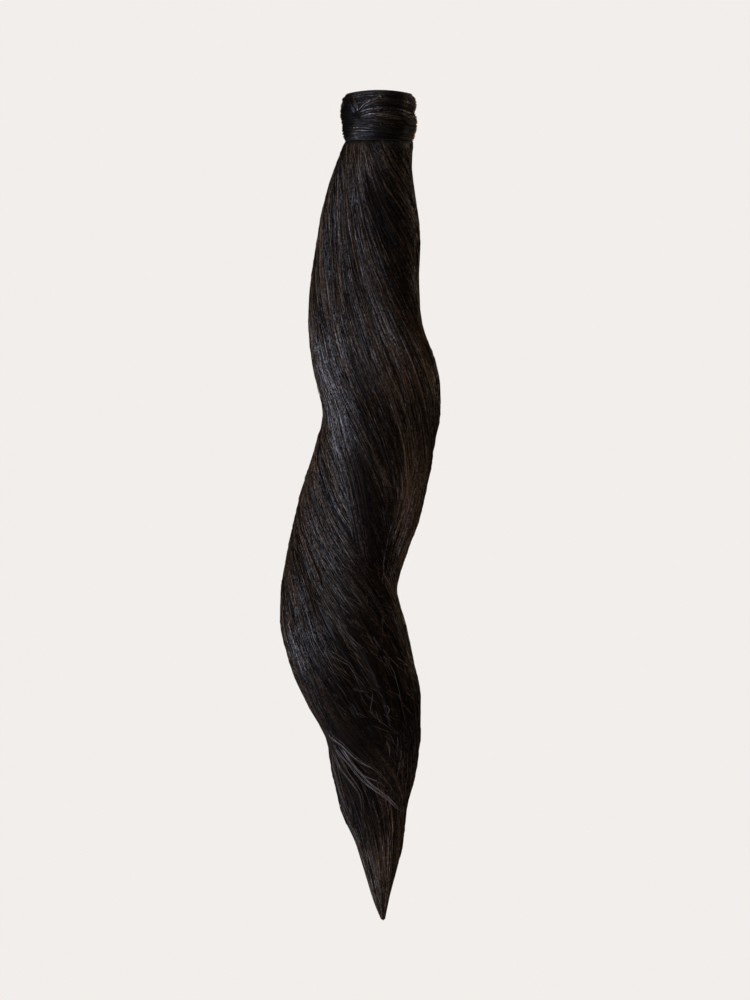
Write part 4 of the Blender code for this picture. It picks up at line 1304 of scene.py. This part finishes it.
class PONYTAIL_OT_tail_strands(bpy.types.Operator):
    """Lays the strands that follow the tail's twist"""

    bl_idname = "ponytail.tail_strands"
    bl_label = "Tail Strands"

    def execute(self, context):
        sizes, colours = context.scene.ponytail_sizes, context.scene.ponytail_colours
        finish = hair_material("hair_strands", tail_colours(colours), *TAIL_FINISH)
        for layer, (count, steps, shortest, longest, straying) in enumerate(LAYERS):
            rng = np.random.default_rng(SEED + 10 + layer)
            wildness = math.tan(math.radians(straying))
            strands = flowing_strands(rng, count, steps, sizes, shortest, longest, wildness)
            name = f"tail_strands_{layer + 1}"
            # Painted shade and sheen from the named places on the front go onto the strands.
            add_piece(name, strand_mesh(name, strands, painted_shade_at(strands[0])), finish, "tail_hair")
        return {"FINISHED"}


class PONYTAIL_OT_tail_bands(bpy.types.Operator):
    """Lays the bands of hair that cross the tail's front, and its loose ends"""

    bl_idname = "ponytail.tail_bands"
    bl_label = "Tail Bands"

    def execute(self, context):
        sizes, colours = context.scene.ponytail_sizes, context.scene.ponytail_colours
        finish = hair_material("hair_strands", tail_colours(colours), *TAIL_FINISH)
        rng = np.random.default_rng(SEED + 20)
        strands = joined([band_strands(rng, rows, count, BAND_STEPS, sizes) for count, rows in BANDS.values()])
        # Painted shade and sheen from the named places on the front go onto the bands.
        add_piece("tail_bands", strand_mesh("tail_bands", strands, painted_shade_at(strands[0])), finish, "tail_hair")
        ends = loose_strands(rng, LOOSE_ENDS, BAND_STEPS, sizes)
        hairs = joined([ends, *(placed_hairs(rng, *wisp, BAND_STEPS, sizes) for wisp in WISPS.values())])
        # The loose hairs blend from brown through light to pale: partly lighter hair, partly painted highlight.
        lighter = (tuple(colours.brown), tuple(colours.light), tuple(colours.pale))
        pale = hair_material("loose_hairs", lighter, *LOOSE_FINISH)
        plain = np.ones(hairs[0].shape[:2])
        add_piece("loose_ends", strand_mesh("loose_ends", hairs, plain), pale, "tail_hair")
        return {"FINISHED"}


class PONYTAIL_OT_collar(bpy.types.Operator):
    """Builds the collar's body and winds its strands"""

    bl_idname = "ponytail.collar"
    bl_label = "Collar"

    def execute(self, context):
        sizes, colours = context.scene.ponytail_sizes, tail_colours(context.scene.ponytail_colours)
        below = under_hair_material("hair_below_shaded", colours)
        add_piece("collar_body", collar_body_mesh(sizes), below, "wrap_hair", "wrap_strand")
        # Painted shade: the collar's strands take the tail's colours darkened, standing in for the collar looking
        # darker under the lights.
        darker = [times(colour, COLLAR_SHADE_SHARE) for colour in colours]
        finish = hair_material("collar_strands", darker, *COLLAR_FINISH)
        rng = np.random.default_rng(SEED + 30)
        strands = joined([wound_strands(rng, *lock, COLLAR_STEPS, sizes) for lock in WOUND.values()])
        # Painted shade and sheen from the named places on the front go onto the collar's strands.
        mesh = strand_mesh("collar_strands", strands, painted_shade_at(strands[0]))
        add_piece("collar_strands", mesh, finish, "wrap_hair")
        return {"FINISHED"}


class PONYTAIL_OT_strap(bpy.types.Operator):
    """Gives the hidden strap its woven finish"""

    bl_idname = "ponytail.strap"
    bl_label = "Strap"

    def execute(self, context):
        colour = tuple(context.scene.ponytail_colours.strap)
        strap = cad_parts["base_strap"]
        strap.data.materials.clear()
        strap.data.materials.append(strap_material(colour, times(colour, STRAP_LIGHTNESS)))
        return {"FINISHED"}


def place_object(name, data, place=(0.0, 0.0, 0.0)):
    """Puts a light, a camera or the floor into the scene at a place."""
    made = bpy.data.objects.new(name, data)
    bpy.context.scene.collection.objects.link(made)
    made.location = place
    return made


def aimed_at(place, target):
    """The turn that points a light or a camera at a place."""
    return (Vector(target) - Vector(place)).to_track_quat("-Z", "Y").to_euler()


def add_area_light(name, place, target, width, height, spread, power, colour):
    """A rectangular softbox that the camera doesn't see. Its spread is the angle that its light is kept in."""
    light = bpy.data.lights.new(name, "AREA")
    light.shape = "RECTANGLE"
    light.size, light.size_y = width, height
    light.energy, light.color = power, colour
    light.spread = math.radians(spread)
    softbox = place_object(name, light, place)
    softbox.rotation_euler = aimed_at(place, target)
    softbox.visible_camera = False


def add_camera():
    """The camera of the photograph: level with the picture's middle, far off with a long lens."""
    camera = bpy.data.cameras.new("camera")
    camera.lens, camera.sensor_width = CAMERA_LENS, CAMERA_SENSOR
    camera.clip_start, camera.clip_end = 0.05, 20.0
    made = place_object("camera", camera, (CAMERA_AIM_X, -CAMERA_DISTANCE, CAMERA_AIM_Z))
    made.rotation_euler = aimed_at(made.location, (CAMERA_AIM_X, 0.0, CAMERA_AIM_Z))
    bpy.context.scene.camera = made


def make_world(background):
    """A dim grey world that lights the hair, which the camera sees as the plain background."""
    world = bpy.data.worlds.new("studio")
    bpy.context.scene.world = world
    world.use_nodes = True
    tree = world.node_tree
    tree.nodes.clear()
    dim = add_node(tree, "Background", {"Color": opaque(WORLD_COLOUR), "Strength": WORLD_STRENGTH}).outputs[0]
    seen = add_node(tree, "Background", {"Color": opaque(background)}).outputs[0]
    by_camera = add_node(tree, "LightPath").outputs["Is Camera Ray"]
    mix = add_node(tree, "MixShader", {"Fac": by_camera, 1: dim, 2: seen}).outputs[0]
    add_node(tree, "OutputWorld", {"Surface": mix})


def floor_piece(background):
    """A pale round floor, level and well below the tip, whose rim fades out."""
    around, rows = 96, 12
    share = np.arange(around) / around
    height = TAIL_LOW.z - FLOOR_DROP
    rings = np.stack([ring_of(radius, height, share) for radius in np.linspace(0.02, FLOOR_RADIUS, rows)])
    index = np.arange(around * rows).reshape(rows, around)
    after = np.roll(index, -1, axis=1)
    quads = np.stack([index[:-1], index[1:], after[1:], after[:-1]], axis=-1).reshape(-1, 4)
    points = np.concatenate([rings.reshape(-1, 3), [[0.0, 0.0, height]]])
    centre = np.stack([index[0], after[0], np.full(around, len(points) - 1)], axis=-1)
    mesh = fill_mesh("floor", points, quads, centre, points[:, :2].copy())
    made, shader = new_material("floor_paper", 0.9, 0.1)
    tree = made.node_tree
    shader.inputs["Base Color"].default_value = opaque(background)
    flat = {0: object_place(tree), 1: (1.0, 1.0, 0.0)}
    flat_place = add_node(tree, "VectorMath", flat, operation="MULTIPLY").outputs["Vector"]
    length = add_node(tree, "VectorMath", {0: flat_place}, operation="LENGTH").outputs["Value"]
    fade = {"Value": length, "From Min": FLOOR_FADE_START, "From Max": FLOOR_RADIUS, "To Min": 1.0, "To Max": 0.0}
    fade = add_node(tree, "MapRange", fade, interpolation_type="SMOOTHSTEP").outputs["Result"]
    tree.links.new(fade, shader.inputs["Alpha"])
    mesh.materials.append(made)
    return place_object("floor", mesh)


class PONYTAIL_OT_studio(bpy.types.Operator):
    """Sets up the floor, the lights, the background and the camera"""

    bl_idname = "ponytail.studio"
    bl_label = "Studio"

    def execute(self, context):
        background = tuple(context.scene.ponytail_colours.background)
        for light in LIGHTS:
            add_area_light(*light)
        make_world(background)
        floor = floor_piece(background)
        add_camera()
        context.scene.view_settings.view_transform = "Standard"
        return {"FINISHED"}


class PONYTAIL_PT_panel(bpy.types.Panel):
    """Lists the sizes, the colours and the steps"""

    bl_label = "Ponytail"
    bl_idname = "PONYTAIL_PT_panel"
    bl_space_type = "VIEW_3D"
    bl_region_type = "UI"
    bl_category = "Ponytail"

    def draw(self, context):
        for group in (context.scene.ponytail_sizes, context.scene.ponytail_colours):
            for name in group.bl_rna.properties.keys():
                if name not in ("rna_type", "name"):
                    self.layout.prop(group, name)
        for operator in OPERATORS:
            self.layout.operator(operator.bl_idname)


OPERATORS = (
    PONYTAIL_OT_tail_body,
    PONYTAIL_OT_tail_strands,
    PONYTAIL_OT_tail_bands,
    PONYTAIL_OT_collar,
    PONYTAIL_OT_strap,
    PONYTAIL_OT_studio,
)
CLASSES = (PonytailSizes, PonytailColours, *OPERATORS, PONYTAIL_PT_panel)


def register():
    """Registers the classes and puts the settings on the scene."""
    for made in CLASSES:
        bpy.utils.register_class(made)
    bpy.types.Scene.ponytail_sizes = bpy.props.PointerProperty(type=PonytailSizes)
    bpy.types.Scene.ponytail_colours = bpy.props.PointerProperty(type=PonytailColours)


def unregister():
    """Takes the settings and the classes away again."""
    del bpy.types.Scene.ponytail_colours
    del bpy.types.Scene.ponytail_sizes
    for made in reversed(CLASSES):
        bpy.utils.unregister_class(made)


def main():
    """Builds everything in order."""
    register()
    bpy.ops.ponytail.tail_body()
    bpy.ops.ponytail.tail_strands()
    bpy.ops.ponytail.tail_bands()
    bpy.ops.ponytail.collar()
    bpy.ops.ponytail.strap()
    bpy.ops.ponytail.studio()


if __name__ == "__main__":
    main()
